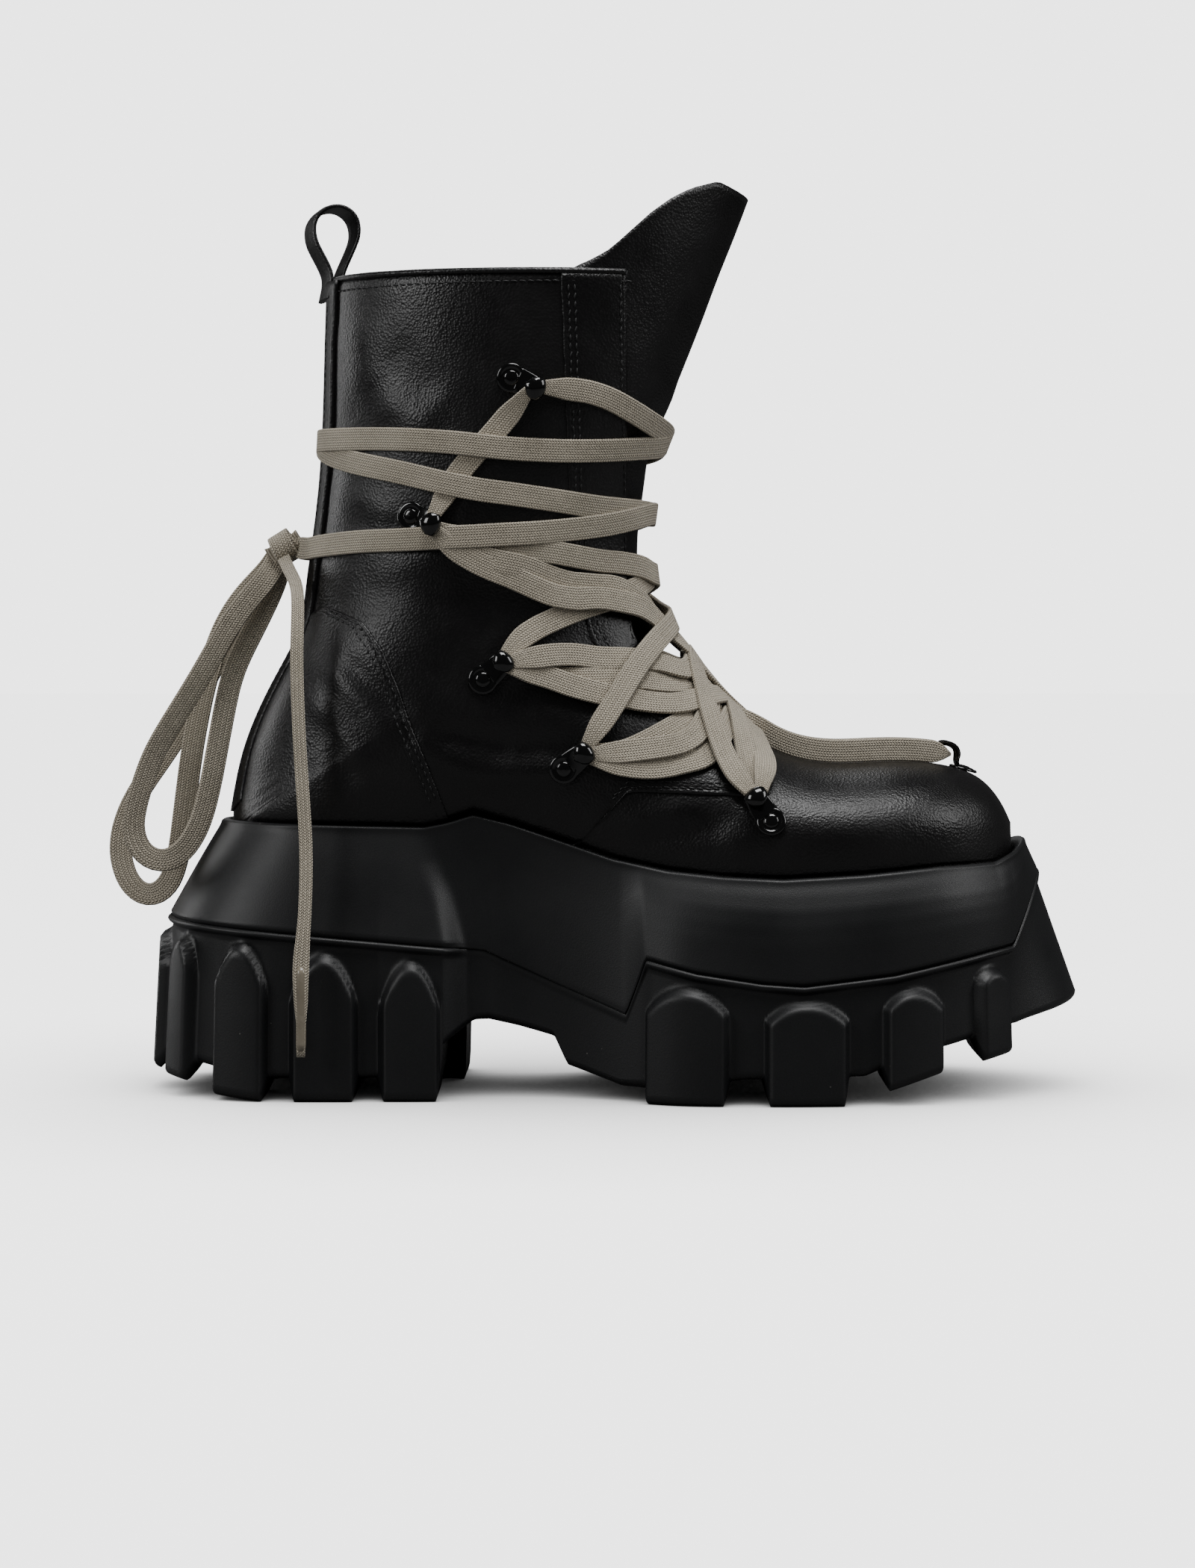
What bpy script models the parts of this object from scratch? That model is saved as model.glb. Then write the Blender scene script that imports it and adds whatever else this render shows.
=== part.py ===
"""Lug sole boot, right foot: chunky rubber sole, hollow leather upper, tongue, hooks and lacing.

Frame: x runs to the toe, y to the medial side, z up from the floor. Metres.
Tables hold shares of the named sizes: x of TOP_LENGTH from the heel, y of BALL_WIDTH, z of COLLAR_HEIGHT.
"""

import math

import bmesh
import bpy
import numpy as np

# Named sizes
TOP_LENGTH = 0.289  # the sole's top edge, heel to toe
BALL_WIDTH = 0.1046  # the sole's top edge at the ball
COLLAR_HEIGHT = 0.290  # floor to collar
HEEL_X = -0.142  # the top edge's heel end
WALL = 0.002  # upper leather
RIM = 0.003  # lip of the sole round the upper
CUP = 0.004  # depth of the recess the upper stands in
RIM_GAP = 0.0009
FLOOR_GAP = 0.001
GAP = 0.0003
EDGE_ROUND = 0.0008
LEDGE_STEP = 0.0016  # the midsole stands back from the outsole's ledge
LEDGE_LIP = 0.0017  # the outsole wall stands back under its ledge
LUG_PROUD = 0.0045
LUG_EDGE = 0.0009
INSOLE_DEPTH = 0.003
TONGUE_GAP = 0.0018
TONGUE_DEPTH = 0.0016
THROAT_ROW = 8.0  # the throat opens behind this section
UPPER_COLUMNS = 12
TONGUE_COLUMNS = 11
TONGUE_ROWS = 15
FRAME_SHIFT = np.array([0.00015, 0.00061, 0.0])  # puts the origin under the middle of the boot
PLAIN_TOE = (0.0, 0.45, 0.9, 1.35, 1.8, 2.2)
COLLAR_ROW = 29.0
STAY_FOOT = 19.45
STAY_SHARE = 0.071
STAY_DEPTH = 0.0015
COUNTER_FOOT = 13.8
COUNTER_HEAD = 24.2
COUNTER_DEPTH = 0.0010
OVERLAY_GAP = 0.0012  # between the faceted overlays and the faceted upper
RIM_CLEAR = 0.0035
LOOP_WIDTH = 0.020
LOOP_DEPTH = 0.0018
LOOP_TURN = math.radians(8.0)
HOOK_SIZE = 0.0092
HOOK_DEPTH = 0.0011
TOE_HOOK_ROW = 2.75
LACE_WIDTH = 0.008
LACE_DEPTH = 0.0015
BAR_STEP = 0.0145
BAR_LIFT = 0.0025
BAR_TRIM = 0.005
HOOK_FOLD = (
    ("along", "up", "width"),
    (-0.50, 0.11, 0.50), (-0.30, 0.11, 0.90), (0.10, 0.11, 1.0), (0.95, 0.11, 0.74),
    (1.22, 0.28, 0.72), (1.15, 0.58, 0.72), (0.62, 0.62, 0.45),
)
KNOT_AT = np.array([-0.11985, 0.0, 0.1945])
KNOT_SIZE = np.array([0.0052, 0.0090, 0.0068])
LACE_PAIRS = (
    ("side low", "side low"), ("instep middle", "side middle"),
    ("instep up", "ankle high"),
    ("ankle high", "instep up"), ("side up", "ankle middle"), ("ankle middle", "side up"),
    ("instep high", "vamp back"), ("vamp back", "instep high"), ("ankle low", "vamp front"), ("vamp front", "ankle low"),
)
LACE_BACKSTEP = ((26.75, 0.475), (26.5, 0.51), (26.05, 0.56))

STATIONS = (
    ("station", "top_x", "top_half", "ledge_x", "ledge_half", "centre", "bulge", "lean"),
    ("toe tip", 1, 0, 1.0183, 0, 0.0478, 0, 0.1616),
    ("toe round", 0.9931, 0.1625, 1.0069, 0.196, 0.0478, 0.0048, 0.1195),
    ("toe side", 0.9734, 0.2868, 0.981, 0.3442, 0.043, 0.0143, 0.0335),
    ("toe corner", 0.9412, 0.3728, 0.9446, 0.4446, 0.0335, 0.021, 0.0143),
    ("toe root", 0.8962, 0.4417, 0.8979, 0.5163, 0.0239, 0.0268, 0.0096),
    ("ball front", 0.8374, 0.4828, 0.8374, 0.5593, 0.0096, 0.0287, 0.0096),
    ("ball", 0.7682, 0.5, 0.7682, 0.5755, 0, 0.0287, 0.0096),
    ("ball back", 0.699, 0.5, 0.699, 0.5774, -0.0096, 0.0287, 0.0096),
    ("tread start", 0.6298, 0.478, 0.6298, 0.5679, -0.0143, 0.0249, 0.0096),
    ("tread back", 0.5606, 0.435, 0.5606, 0.5402, -0.0143, 0.0172, 0.0096),
    ("waist front", 0.4913, 0.3967, 0.4983, 0.4589, -0.0115, 0.0048, 0.0048),
    ("waist", 0.4221, 0.3681, 0.4221, 0.3901, -0.0096, -0.0076, 0),
    ("waist back", 0.3529, 0.3556, 0.346, 0.3786, -0.0048, -0.0143, 0),
    ("heel breast", 0.2837, 0.3537, 0.2768, 0.4168, 0, -0.0057, 0.0076),
    ("heel front", 0.2145, 0.3576, 0.2007, 0.4474, 0, 0.0029, 0.0153),
    ("heel", 0.1453, 0.3537, 0.1211, 0.4512, 0, 0.0029, 0.0191),
    ("heel back", 0.0865, 0.325, 0.0484, 0.4321, 0, 0.0029, 0.0229),
    ("heel corner", 0.0381, 0.2438, -0.0156, 0.3518, 0, 0.0029, 0.0258),
    ("heel round", 0.0093, 0.1291, -0.0561, 0.1989, 0, 0.0029, 0.0277),
    ("heel tip", 0, 0, -0.0692, 0, 0, 0.0029, 0.0287),
)
TOP_LINE = (
    ("x", "z"),
    (0, 0.3345),
    (0.2561, 0.3293),
    (0.2837, 0.3345),
    (0.3149, 0.3441),
    (0.3599, 0.3331),
    (0.4083, 0.3172),
    (0.4844, 0.2917),
    (0.5502, 0.2783),
    (0.6159, 0.2721),
    (0.6903, 0.269),
    (0.7855, 0.2741),
    (0.8789, 0.2828),
    (0.9516, 0.2855),
    (0.9792, 0.2966),
    (1, 0.3103),
)
LEDGE_LINE = (
    ("x", "z"),
    (-0.0692, 0.2155),
    (0.3287, 0.1807),
    (0.4152, 0.1414),
    (0.5003, 0.1059),
    (0.5246, 0.1724),
    (0.5848, 0.1576),
    (0.6644, 0.1459),
    (0.7145, 0.1424),
    (0.8235, 0.1552),
    (0.9412, 0.1793),
    (0.9758, 0.1848),
    (1.0069, 0.2483),
    (1.0183, 0.2724),
)
LUG_LINE = (
    ("x", "z"),
    (-0.0692, 0.0276),
    (-0.0277, 0.0207),
    (-0.0035, 0.0086),
    (0.0588, 0),
    (0.7751, 0),
    (0.8097, 0.0155),
    (0.8844, 0.0397),
    (0.9239, 0.0476),
    (0.9654, 0.0569),
)
BASE_LINE = (
    ("x", "z"),
    (-0.0692, 0.0517),
    (-0.0156, 0.0414),
    (0.0588, 0.0276),
    (0.2768, 0.0276),
    (0.2785, 0.0655),
    (0.3183, 0.0948),
    (0.3356, 0.0959),
    (0.3702, 0.0876),
    (0.4118, 0.0755),
    (0.4273, 0.041),
    (0.4913, 0.0183),
    (0.5225, 0.0172),
    (0.6436, 0.031),
    (0.7889, 0.0345),
    (0.8478, 0.0586),
    (0.9031, 0.0707),
    (0.9446, 0.081),
    (0.981, 0.0897),
    (1.0183, 0.1097),
)
LUGS = (
    ("lug", "lateral_front", "lateral_back", "medial_front", "medial_back", "apex", "shoulder"),
    ("toe lug", 0.9654, 0.9239, 0.9654, 0.9239, 0.1614, 0.1431),
    ("ball lug front", 0.8844, 0.8097, 0.8844, 0.8097, 0.1397, 0.1155),
    ("ball lug back", 0.7689, 0.6668, 0.7689, 0.6668, 0.1262, 0.1017),
    ("tread lug", 0.6246, 0.5239, 0.6246, 0.5239, 0.1414, 0.1103),
    ("breast lug", 0.2768, 0.2007, 0.3045, 0.2076, 0.169, 0.1069),
    ("heel lug front", 0.1765, 0.0934, 0.1799, 0.0952, 0.1779, 0.1172),
    ("heel lug back", 0.0675, 0.0017, 0.0675, 0.0017, 0.1914, 0.131),
    ("heel corner lug", -0.0225, -0.0519, -0.0225, -0.0519, 0.1979, 0.1448),
    ("heel tip lug", -0.063, -0.0692, -0.063, -0.0692, 0.2, 0.1552),
)
UPPER_SECTIONS = (
    ("section", "front_x", "front_z", "back_x", "back_z", "wide_half", "wide_at", "front_round", "end_round", "end_bend"),
    ("toe tip", 0.9858, 0.3276, None, None, 0, 0.55, 2.2, 2, 1),
    ("toe round", 0.972, 0.3538, None, None, 0.1654, 0.56, 2.2, 2, 1),
    ("toe side", 0.9491, 0.3807, None, None, 0.283, 0.58, 2.2, 2, 1),
    ("toe corner", 0.9152, 0.3966, None, None, 0.3652, 0.6, 2.2, 2, 1),
    ("toe root", 0.8685, 0.4041, None, None, 0.4321, 0.62, 2.2, 2, 1),
    ("ball front", 0.8166, 0.4055, None, None, 0.4723, 0.64, 2.15, 2, 1),
    ("ball", 0.7612, 0.4041, None, None, 0.4876, 0.65, 2.1, 2, 1),
    ("vamp", 0.7093, 0.4117, None, None, 0.4876, 0.66, 2.05, 2, 1),
    ("throat", 0.6661, 0.4317, None, None, 0.4685, 0.66, 2, 2, 1),
    ("instep low", 0.6315, 0.4586, None, None, 0.4398, 0.66, 2, 2, 1),
    ("instep", 0.6021, 0.4879, None, None, 0.4168, 0.65, 2, 2, 1),
    ("instep high", 0.5789, 0.5166, None, None, 0.4044, 0.63, 2, 2, 1),
    ("ankle front", 0.5612, 0.5424, None, None, 0.3996, 0.6, 2, 2, 1),
    ("ankle 1", 0.5484, 0.5672, None, None, 0.3996, 0.57, 2, 2, 1),
    ("ankle 2", 0.5398, 0.5897, None, None, 0.4015, 0.54, 2, 2, 0.95),
    ("ankle 3", 0.5349, 0.6103, None, None, 0.4034, 0.52, 2, 2, 0.85),
    ("ankle 4", 0.5322, 0.6276, None, None, 0.4044, 0.51, 2, 2, 0.75),
    ("ankle 5", 0.5301, 0.6448, None, None, 0.4044, 0.5, 2, 2, 0.65),
    ("ankle 6", 0.5294, 0.6603, None, None, 0.4034, 0.5, 2, 2, 0.55),
    ("heel point", 0.5294, 0.6759, None, None, 0.4015, 0.5, 2, 2, 0.5),
    ("heel low", 0.5304, 0.6914, 0.0221, 0.3738, 0.3996, 0.5, 2, 2, 0.5),
    ("heel mid", 0.5329, 0.7103, 0.0353, 0.4259, 0.3977, 0.5, 2, 2, 0.5),
    ("heel high", 0.5356, 0.731, 0.0595, 0.4828, 0.3958, 0.5, 2, 2, 0.5),
    ("tendon low", 0.5384, 0.7517, 0.0855, 0.531, 0.3958, 0.5, 2, 2, 0.5),
    ("tendon", 0.5419, 0.7759, 0.1045, 0.5759, 0.3977, 0.5, 2.05, 2, 0.5),
    ("shaft low", 0.5495, 0.8034, 0.1128, 0.631, 0.4034, 0.5, 2.1, 2, 0.5),
    ("shaft", 0.5657, 0.8397, 0.1239, 0.7103, 0.4111, 0.5, 2.1, 2, 0.5),
    ("shaft high", 0.5886, 0.8948, 0.1318, 0.8, 0.4207, 0.5, 2.1, 2, 0.5),
    ("shaft top", 0.6097, 0.9483, 0.1356, 0.9034, 0.4293, 0.51, 2.1, 2, 0.5),
    ("collar", 0.6291, 1, 0.1384, 1, 0.435, 0.51, 2.1, 2, 0.5),
    ("over collar", 0.6484, 1.0483, 0.1384, 1.0483, 0.4379, 0.51, 2.1, 2, 0.5),
    ("tongue top", 0.6675, 1.0983, 0.1384, 1.0983, 0.4379, 0.51, 2.1, 2, 0.5),
    ("tongue over", 0.6799, 1.131, 0.1384, 1.131, 0.4379, 0.51, 2.1, 2, 0.5),
)
FACING_LINE = (
    ("z", "x"),
    (0.3793, 0.699),
    (0.431, 0.6626),
    (0.4483, 0.6349),
    (0.4759, 0.5848),
    (0.5172, 0.5329),
    (0.569, 0.5104),
    (0.6276, 0.5035),
    (1, 0.5035),
)
TONGUE_EDGE = (
    ("row", "share"),
    (7.6, 0.13),
    (8, 0.16),
    (9, 0.24),
    (10, 0.29),
    (11, 0.33),
    (14, 0.33),
    (19, 0.27),
    (24, 0.31),
    (27, 0.38),
    (29, 0.435),
    (32, 0.45),
)
TONGUE_TOP = (
    ("x", "z"),
    (0.3875, 0.9862),
    (0.4291, 0.9983),
    (0.4429, 1.0062),
    (0.4626, 1.0152),
    (0.4834, 1.0276),
    (0.5069, 1.0493),
    (0.5332, 1.0731),
    (0.5571, 1.0903),
    (0.581, 1.1028),
    (0.6138, 1.1131),
    (0.6592, 1.0972),
    (0.699, 1.0862),
)
COUNTER_SEAM = (
    ("x", "z"),
    (0.1183, 0.5983),
    (0.1467, 0.5931),
    (0.1844, 0.5772),
    (0.2076, 0.5448),
    (0.2263, 0.4993),
    (0.2401, 0.4579),
    (0.263, 0.4024),
    (0.2872, 0.3379),
)
PULL_LOOP = (
    ("x", "z"),
    (0.1329, 1.0041),
    (0.1232, 1.0241),
    (0.1097, 1.0483),
    (0.1087, 1.0724),
    (0.1232, 1.0883),
    (0.1453, 1.091),
    (0.1626, 1.0779),
    (0.1661, 1.0552),
    (0.1557, 1.031),
    (0.1433, 1.0041),
)
HOOKS = (
    ("hook", "row", "share", "aim_row", "aim_share"),
    ("hook_top", 27.3, 0.5, 26.9, 0.435),
    ("hook_ankle", 25.4, 0.64, 25, 0.585),
    ("hook_instep", 16.9, 0.45, 17.3, 0.39),
    ("hook_side", 12, 0.54, 11.9, 0.47),
    ("hook_vamp", 7.5, 0.43, 7.9, 0.37),
)
LACE_LEGS = {
    "top": ((27.15, 0.43), (26.8, 0.35), (26.2, 0.25), (25.4, 0.11)),
    "ankle high": ((24.9, 0.555), (23, 0.42), (20.9, 0.27), (17.6, 0.11), (16.4, 0.04)),
    "ankle middle": ((24.4, 0.555), (21.5, 0.36), (18.1, 0.22), (15.7, 0.16), (13.5, 0.08)),
    "ankle low": ((24.2, 0.545), (20.7, 0.35), (16.5, 0.22), (13.9, 0.12), (12.1, 0.06), (10.5, 0.04), (9.4, 0.02)),
    "instep up": ((17.8, 0.41), (18.3, 0.37), (17.6, 0.3), (16.6, 0.21), (16.2, 0.12)),
    "instep high": ((16.7, 0.385), (15.6, 0.35), (14.1, 0.3), (13, 0.24), (11.7, 0.15), (11.1, 0.1)),
    "instep middle": ((15.8, 0.42), (14.6, 0.39), (13, 0.31), (11.6, 0.23), (10.7, 0.14)),
    "instep low": ((15.5, 0.42), (12.8, 0.36), (11.6, 0.3), (10.3, 0.21), (9.8, 0.12)),
    "side up": ((12.2, 0.45), (12.3, 0.36), (12.7, 0.26), (13.1, 0.15), (13.3, 0.08)),
    "side middle": ((11.2, 0.47), (10.5, 0.37), (9.5, 0.26), (9.1, 0.16)),
    "side low": ((11.3, 0.49), (10.5, 0.43), (9.7, 0.35), (9.1, 0.29), (8.7, 0.16)),
    "vamp back": ((8.1, 0.385), (8.5, 0.33), (9.5, 0.23), (10.4, 0.15), (11.3, 0.06)),
    "vamp middle": ((7.9, 0.36), (8.4, 0.22), (9, 0.1)),
    "vamp front": ((7.6, 0.36), (7.8, 0.22), (8.2, 0.08), (8.6, 0.02)),
}
LACE_WRAP = (
    (27.15, 0.43), (26.8, 0.35), (26.2, 0.25), (25.4, 0.11), (24.9, 0), (24.6, -0.1),
    (25.9, -0.43), (26.5, -0.58), (26.9, -0.76), (27.05, -1), (26.9, -1.06), (26.6, -1.2),
    (26.2, -1.34), (25.3, -1.52), (24.1, -1.65), (22.1, -1.82), (21.2, -1.93), (21, -2),
    (21.3, -2.08), (21.9, -2.23), (23.1, -2.38), (24.3, -2.55), (25.05, -2.73), (25.3, -2.9),
    (25.35, -3.04),
)
LACE_TOE = (
    (11.6, 0.47), (11.2, 0.43), (10.7, 0.34), (10.2, 0.24), (9.8, 0.13), (9.1, 0.05),
    (8.4, 0.035), (7.4, 0.03), (6, 0.03), (4.9, 0.028),
)
BOW_OUTER = (
    ("x", "y", "z"),
    (0.0649, 0.0287, 0.6501),
    (0.0278, 0.0191, 0.6183),
    (0.0002, 0.0096, 0.5764),
    (-0.0163, 0, 0.5299),
    (-0.0293, 0, 0.4788),
    (-0.0415, 0, 0.4137),
    (-0.0512, 0.0096, 0.3419),
    (-0.0591, 0.0191, 0.2812),
    (-0.0688, 0.0287, 0.2455),
    (-0.0927, 0.0382, 0.2275),
    (-0.1179, 0.0574, 0.2364),
    (-0.1357, 0.0765, 0.2723),
    (-0.138, 0.086, 0.3058),
    (-0.1216, 0.0956, 0.3534),
    (-0.0915, 0.0956, 0.3956),
    (-0.0595, 0.0956, 0.4406),
    (-0.0294, 0.0956, 0.5015),
    (0.0086, 0.086, 0.5699),
    (0.0581, 0.0669, 0.6419),
)
BOW_INNER = (
    ("x", "y", "z"),
    (0.0755, -0.0096, 0.648),
    (0.0435, -0.0287, 0.5792),
    (0.0113, -0.0382, 0.518),
    (-0.0042, -0.0478, 0.4383),
    (-0.015, -0.0574, 0.3773),
    (-0.0281, -0.0765, 0.3213),
    (-0.0515, -0.0956, 0.2847),
    (-0.0756, -0.1147, 0.2741),
    (-0.0992, -0.1243, 0.2872),
    (-0.1135, -0.1338, 0.315),
    (-0.1071, -0.1338, 0.3472),
    (-0.0854, -0.1243, 0.4152),
    (-0.0248, -0.1147, 0.5118),
    (0.0186, -0.086, 0.5902),
    (0.0637, -0.0478, 0.6403),
)
LACE_END = (
    ("x", "y", "z"),
    (0.0835, -0.086, 0.6419),
    (0.0965, -0.2103, 0.6284),
    (0.1027, -0.325, 0.6079),
    (0.1038, -0.392, 0.5807),
    (0.1029, -0.4207, 0.5357),
    (0.1064, -0.4493, 0.4444),
    (0.1115, -0.4685, 0.3748),
    (0.1157, -0.4876, 0.3215),
    (0.1171, -0.5067, 0.2862),
    (0.1156, -0.5449, 0.2186),
    (0.1099, -0.5641, 0.1632),
    (0.112, -0.5736, 0.1112),
    (0.1111, -0.5736, 0.0589),
)


def columns(table):
    """A table's columns as number arrays, keyed by the names in its first row."""
    names = table[0]
    return {
        name: np.array([np.nan if row[i] is None else row[i] for row in table[1:]], dtype=float)
        for i, name in enumerate(names)
        if not isinstance(table[1][i], str)
    }


def spline(values, at, flat_start=False, flat_end=False):
    """Cubic through one value per row, read at fractional rows; an end is straight, or level if flat."""
    values = np.asarray(values, dtype=float)
    count = len(values)
    system = np.eye(count)
    right = np.zeros(count)
    for i in range(1, count - 1):
        system[i, i - 1:i + 2] = (1.0, 4.0, 1.0)
        right[i] = 6.0 * (values[i - 1] - 2.0 * values[i] + values[i + 1])
    if flat_start:
        system[0, :2] = (2.0, 1.0)
        right[0] = 6.0 * (values[1] - values[0])
    if flat_end:
        system[-1, -2:] = (1.0, 2.0)
        right[-1] = -6.0 * (values[-1] - values[-2])
    bend = np.linalg.solve(system, right)
    at = np.clip(np.asarray(at, dtype=float), 0.0, count - 1.0)
    low = np.minimum(at.astype(int), count - 2)
    b = at - low
    a = 1.0 - b
    lift = ((a**3 - a) * bend[low] + (b**3 - b) * bend[low + 1]) / 6.0
    return a * values[low] + b * values[low + 1] + lift


def side_line(table, x):
    """Height of a side line above the floor at x, straight between its points."""
    line = columns(table)
    return np.interp(x, HEEL_X + TOP_LENGTH * line["x"], COLLAR_HEIGHT * line["z"])


STATION = columns(STATIONS)
HEEL_TIP = len(STATIONS) - 2.0


def edge_point(edge, station, side, outward=0.0):
    """Plan point of the sole's top edge or ledge, moved outward along the plan normal; side is -1 lateral, 1 medial."""

    def at(u):
        half = BALL_WIDTH * spline(STATION[edge + "_half"], u)
        centre = BALL_WIDTH * spline(STATION["centre"], u, True, True)
        x = HEEL_X + TOP_LENGTH * spline(STATION[edge + "_x"], u, True, True)
        return np.stack([x, centre + side * half], axis=-1)

    station = np.asarray(station, dtype=float)
    before = np.maximum(station - 0.02, 0.0)
    after = np.minimum(station + 0.02, HEEL_TIP)
    run = at(after) - at(before)
    run[station <= 0.0, 0] = 0.0
    run[station >= HEEL_TIP, 0] = 0.0
    run /= np.linalg.norm(run, axis=-1, keepdims=True)
    normal = side * np.stack([run[..., 1], -run[..., 0]], axis=-1)
    return at(station) + normal * np.asarray(outward, dtype=float)[..., None]


def station_at(edge, x):
    """Station where the top edge or ledge line passes x."""
    fine = np.linspace(0.0, HEEL_TIP, 1901)
    line = HEEL_X + TOP_LENGTH * spline(STATION[edge + "_x"], fine, True, True)
    return np.interp(-np.asarray(x, dtype=float), -line, fine)


def floor_line(x):
    """Height of the recess the upper stands in, straight between the sections' own ends."""
    ends = edge_point("top", np.arange(HEEL_TIP + 1.0), -1.0, np.full(int(HEEL_TIP) + 1, -RIM - RIM_GAP))[:, 0]
    heights = side_line(TOP_LINE, ends) - CUP
    return np.interp(-np.asarray(x, dtype=float), -ends, heights)


SECTION = columns(UPPER_SECTIONS)
ROWS = np.arange(len(UPPER_SECTIONS) - 1.0)


def end_line(row, side):
    """Where a section of the upper ends: on the feather inside the sole's rim, then up the back seam."""
    feather = edge_point("top", np.minimum(row, HEEL_TIP), side, np.full(np.shape(row), -RIM - RIM_GAP))
    feather_z = floor_line(feather[..., 0]) + FLOOR_GAP
    back = ROWS >= HEEL_TIP
    tip = edge_point("top", np.array([HEEL_TIP]), side, np.array([-RIM - RIM_GAP]))[0]
    back_x = HEEL_X + TOP_LENGTH * SECTION["back_x"]
    back_z = COLLAR_HEIGHT * SECTION["back_z"]
    back_x[int(HEEL_TIP)] = tip[0]
    back_z[int(HEEL_TIP)] = floor_line(tip[0]) + FLOOR_GAP
    up = np.maximum(row - HEEL_TIP, 0.0)
    on_back = row > HEEL_TIP
    x = np.where(on_back, spline(back_x[back], up), feather[..., 0])
    y = np.where(on_back, 0.0, feather[..., 1])
    z = np.where(on_back, spline(back_z[back], up), feather_z)
    return x, y, z


def upper_raw(row, share):
    """Point on the upper's outer face: row runs from the toe tip up to the tongue top, share from the front
    centre (0) round the lateral side to the end line (1), or the medial side to -1. Front and end quarters are
    superellipses that meet at the section's widest point."""
    row, share = np.broadcast_arrays(np.asarray(row, dtype=float), np.asarray(share, dtype=float))
    side = np.where(share < 0.0, 1.0, -1.0)
    front_x = HEEL_X + TOP_LENGTH * spline(SECTION["front_x"], row)
    front_z = COLLAR_HEIGHT * spline(SECTION["front_z"], row)
    wide = BALL_WIDTH * spline(SECTION["wide_half"], row)
    wide_at = spline(SECTION["wide_at"], row)
    front_power = 2.0 / spline(SECTION["front_round"], row)
    end_power = spline(SECTION["end_round"], row)
    end_bend = spline(SECTION["end_bend"], row)
    centre = BALL_WIDTH * spline(STATION["centre"], np.minimum(row, HEEL_TIP), True, True)
    lateral = end_line(row, -1.0)
    medial = end_line(row, 1.0)
    end_x, end_y, end_z = (np.where(side < 0.0, a, b) for a, b in zip(lateral, medial))
    end_half = side * (end_y - centre)
    angle = np.abs(share) * math.pi
    front_angle = np.minimum(angle, 0.5 * math.pi)
    end_angle = np.clip(angle - 0.5 * math.pi, 0.0, 0.5 * math.pi)
    reach = np.sin(end_angle)
    in_front = angle <= 0.5 * math.pi
    along = np.where(
        in_front,
        wide_at * (1.0 - np.cos(front_angle).clip(0.0) ** front_power),
        wide_at + (1.0 - wide_at) * reach,
    )
    half = np.where(
        in_front,
        wide * np.sin(front_angle) ** front_power,
        end_half + (wide - end_half) * (1.0 - reach**end_power).clip(0.0) ** end_bend,
    )
    return np.stack(
        [front_x + (end_x - front_x) * along, centre + side * half, front_z + (end_z - front_z) * along], axis=-1
    )


FEATHER = np.concatenate([
    edge_point("top", np.linspace(0.0, HEEL_TIP, 400), -1.0, np.full(400, -RIM - RIM_GAP)),
    edge_point("top", np.linspace(HEEL_TIP, 0.0, 400), 1.0, np.full(400, -RIM - RIM_GAP)),
])


def upper_point(row, share):
    """Point on the upper's outer face, held inside the sole's rim low down and let out smoothly above it."""
    point = upper_raw(row, share)
    flat = point.reshape(-1, 3).copy()
    above = flat[:, 2] - side_line(TOP_LINE, flat[:, 0])
    for i in np.nonzero(above < 0.012)[0]:
        gap = FEATHER - flat[i, :2]
        near = FEATHER[np.argmin((gap**2).sum(axis=1))]
        middle = np.array([np.clip(flat[i, 0], HEEL_X + 0.04, HEEL_X + TOP_LENGTH - 0.05), 0.0])
        outside = np.linalg.norm(flat[i, :2] - middle) - np.linalg.norm(near - middle)
        allowed = 0.7 * max(0.0, above[i] - 0.001)
        if outside > allowed:
            step = flat[i, :2] - near
            length = np.linalg.norm(step)
            if length > 1e-6:
                flat[i, :2] = near + step * (allowed / length)
    return flat.reshape(point.shape)


def offset_point(row, share, lift):
    """Point a distance above the upper's outer face, along its normal (below it where lift is negative)."""
    row, share = np.broadcast_arrays(np.asarray(row, dtype=float), np.asarray(share, dtype=float))
    step = 0.06
    low_row, high_row = np.maximum(row - step, 0.0), np.minimum(row + step, ROWS[-1])
    along = upper_raw(high_row, share) - upper_raw(low_row, share)
    turn = 0.004
    around = upper_raw(row, wrap(share + turn)) - upper_raw(row, wrap(share - turn))
    normal = np.cross(along, around)
    normal /= np.maximum(np.linalg.norm(normal, axis=-1, keepdims=True), 1e-12)
    return upper_point(row, share) + normal * np.asarray(lift, dtype=float)[..., None]


def wrap(share):
    """Share carried past the back seam comes round from the other side."""
    return (np.asarray(share, dtype=float) + 1.0) % 2.0 - 1.0


def facing_share(row):
    """Share at which the quarter's front edge crosses each section; zero in front of the throat."""
    line = columns(FACING_LINE)
    fine = np.linspace(0.0, 0.6, 301)
    found = []
    for r in np.atleast_1d(row):
        point = upper_raw(np.full(301, r), fine)
        edge = np.interp(point[:, 2], COLLAR_HEIGHT * line["z"], HEEL_X + TOP_LENGTH * line["x"])
        past = np.nonzero(point[:, 0] <= edge)[0]
        found.append(fine[past[0]] if len(past) and r > THROAT_ROW else 0.0)
    return np.array(found)


def grid_faces(row_count, column_count, turned=False):
    """Quads of a grid of points, row by row."""
    faces = []
    for i in range(row_count - 1):
        for j in range(column_count - 1):
            a = i * column_count + j
            quad = (a, a + 1, a + column_count + 1, a + column_count)
            faces.append(tuple(reversed(quad)) if turned else quad)
    return faces


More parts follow.
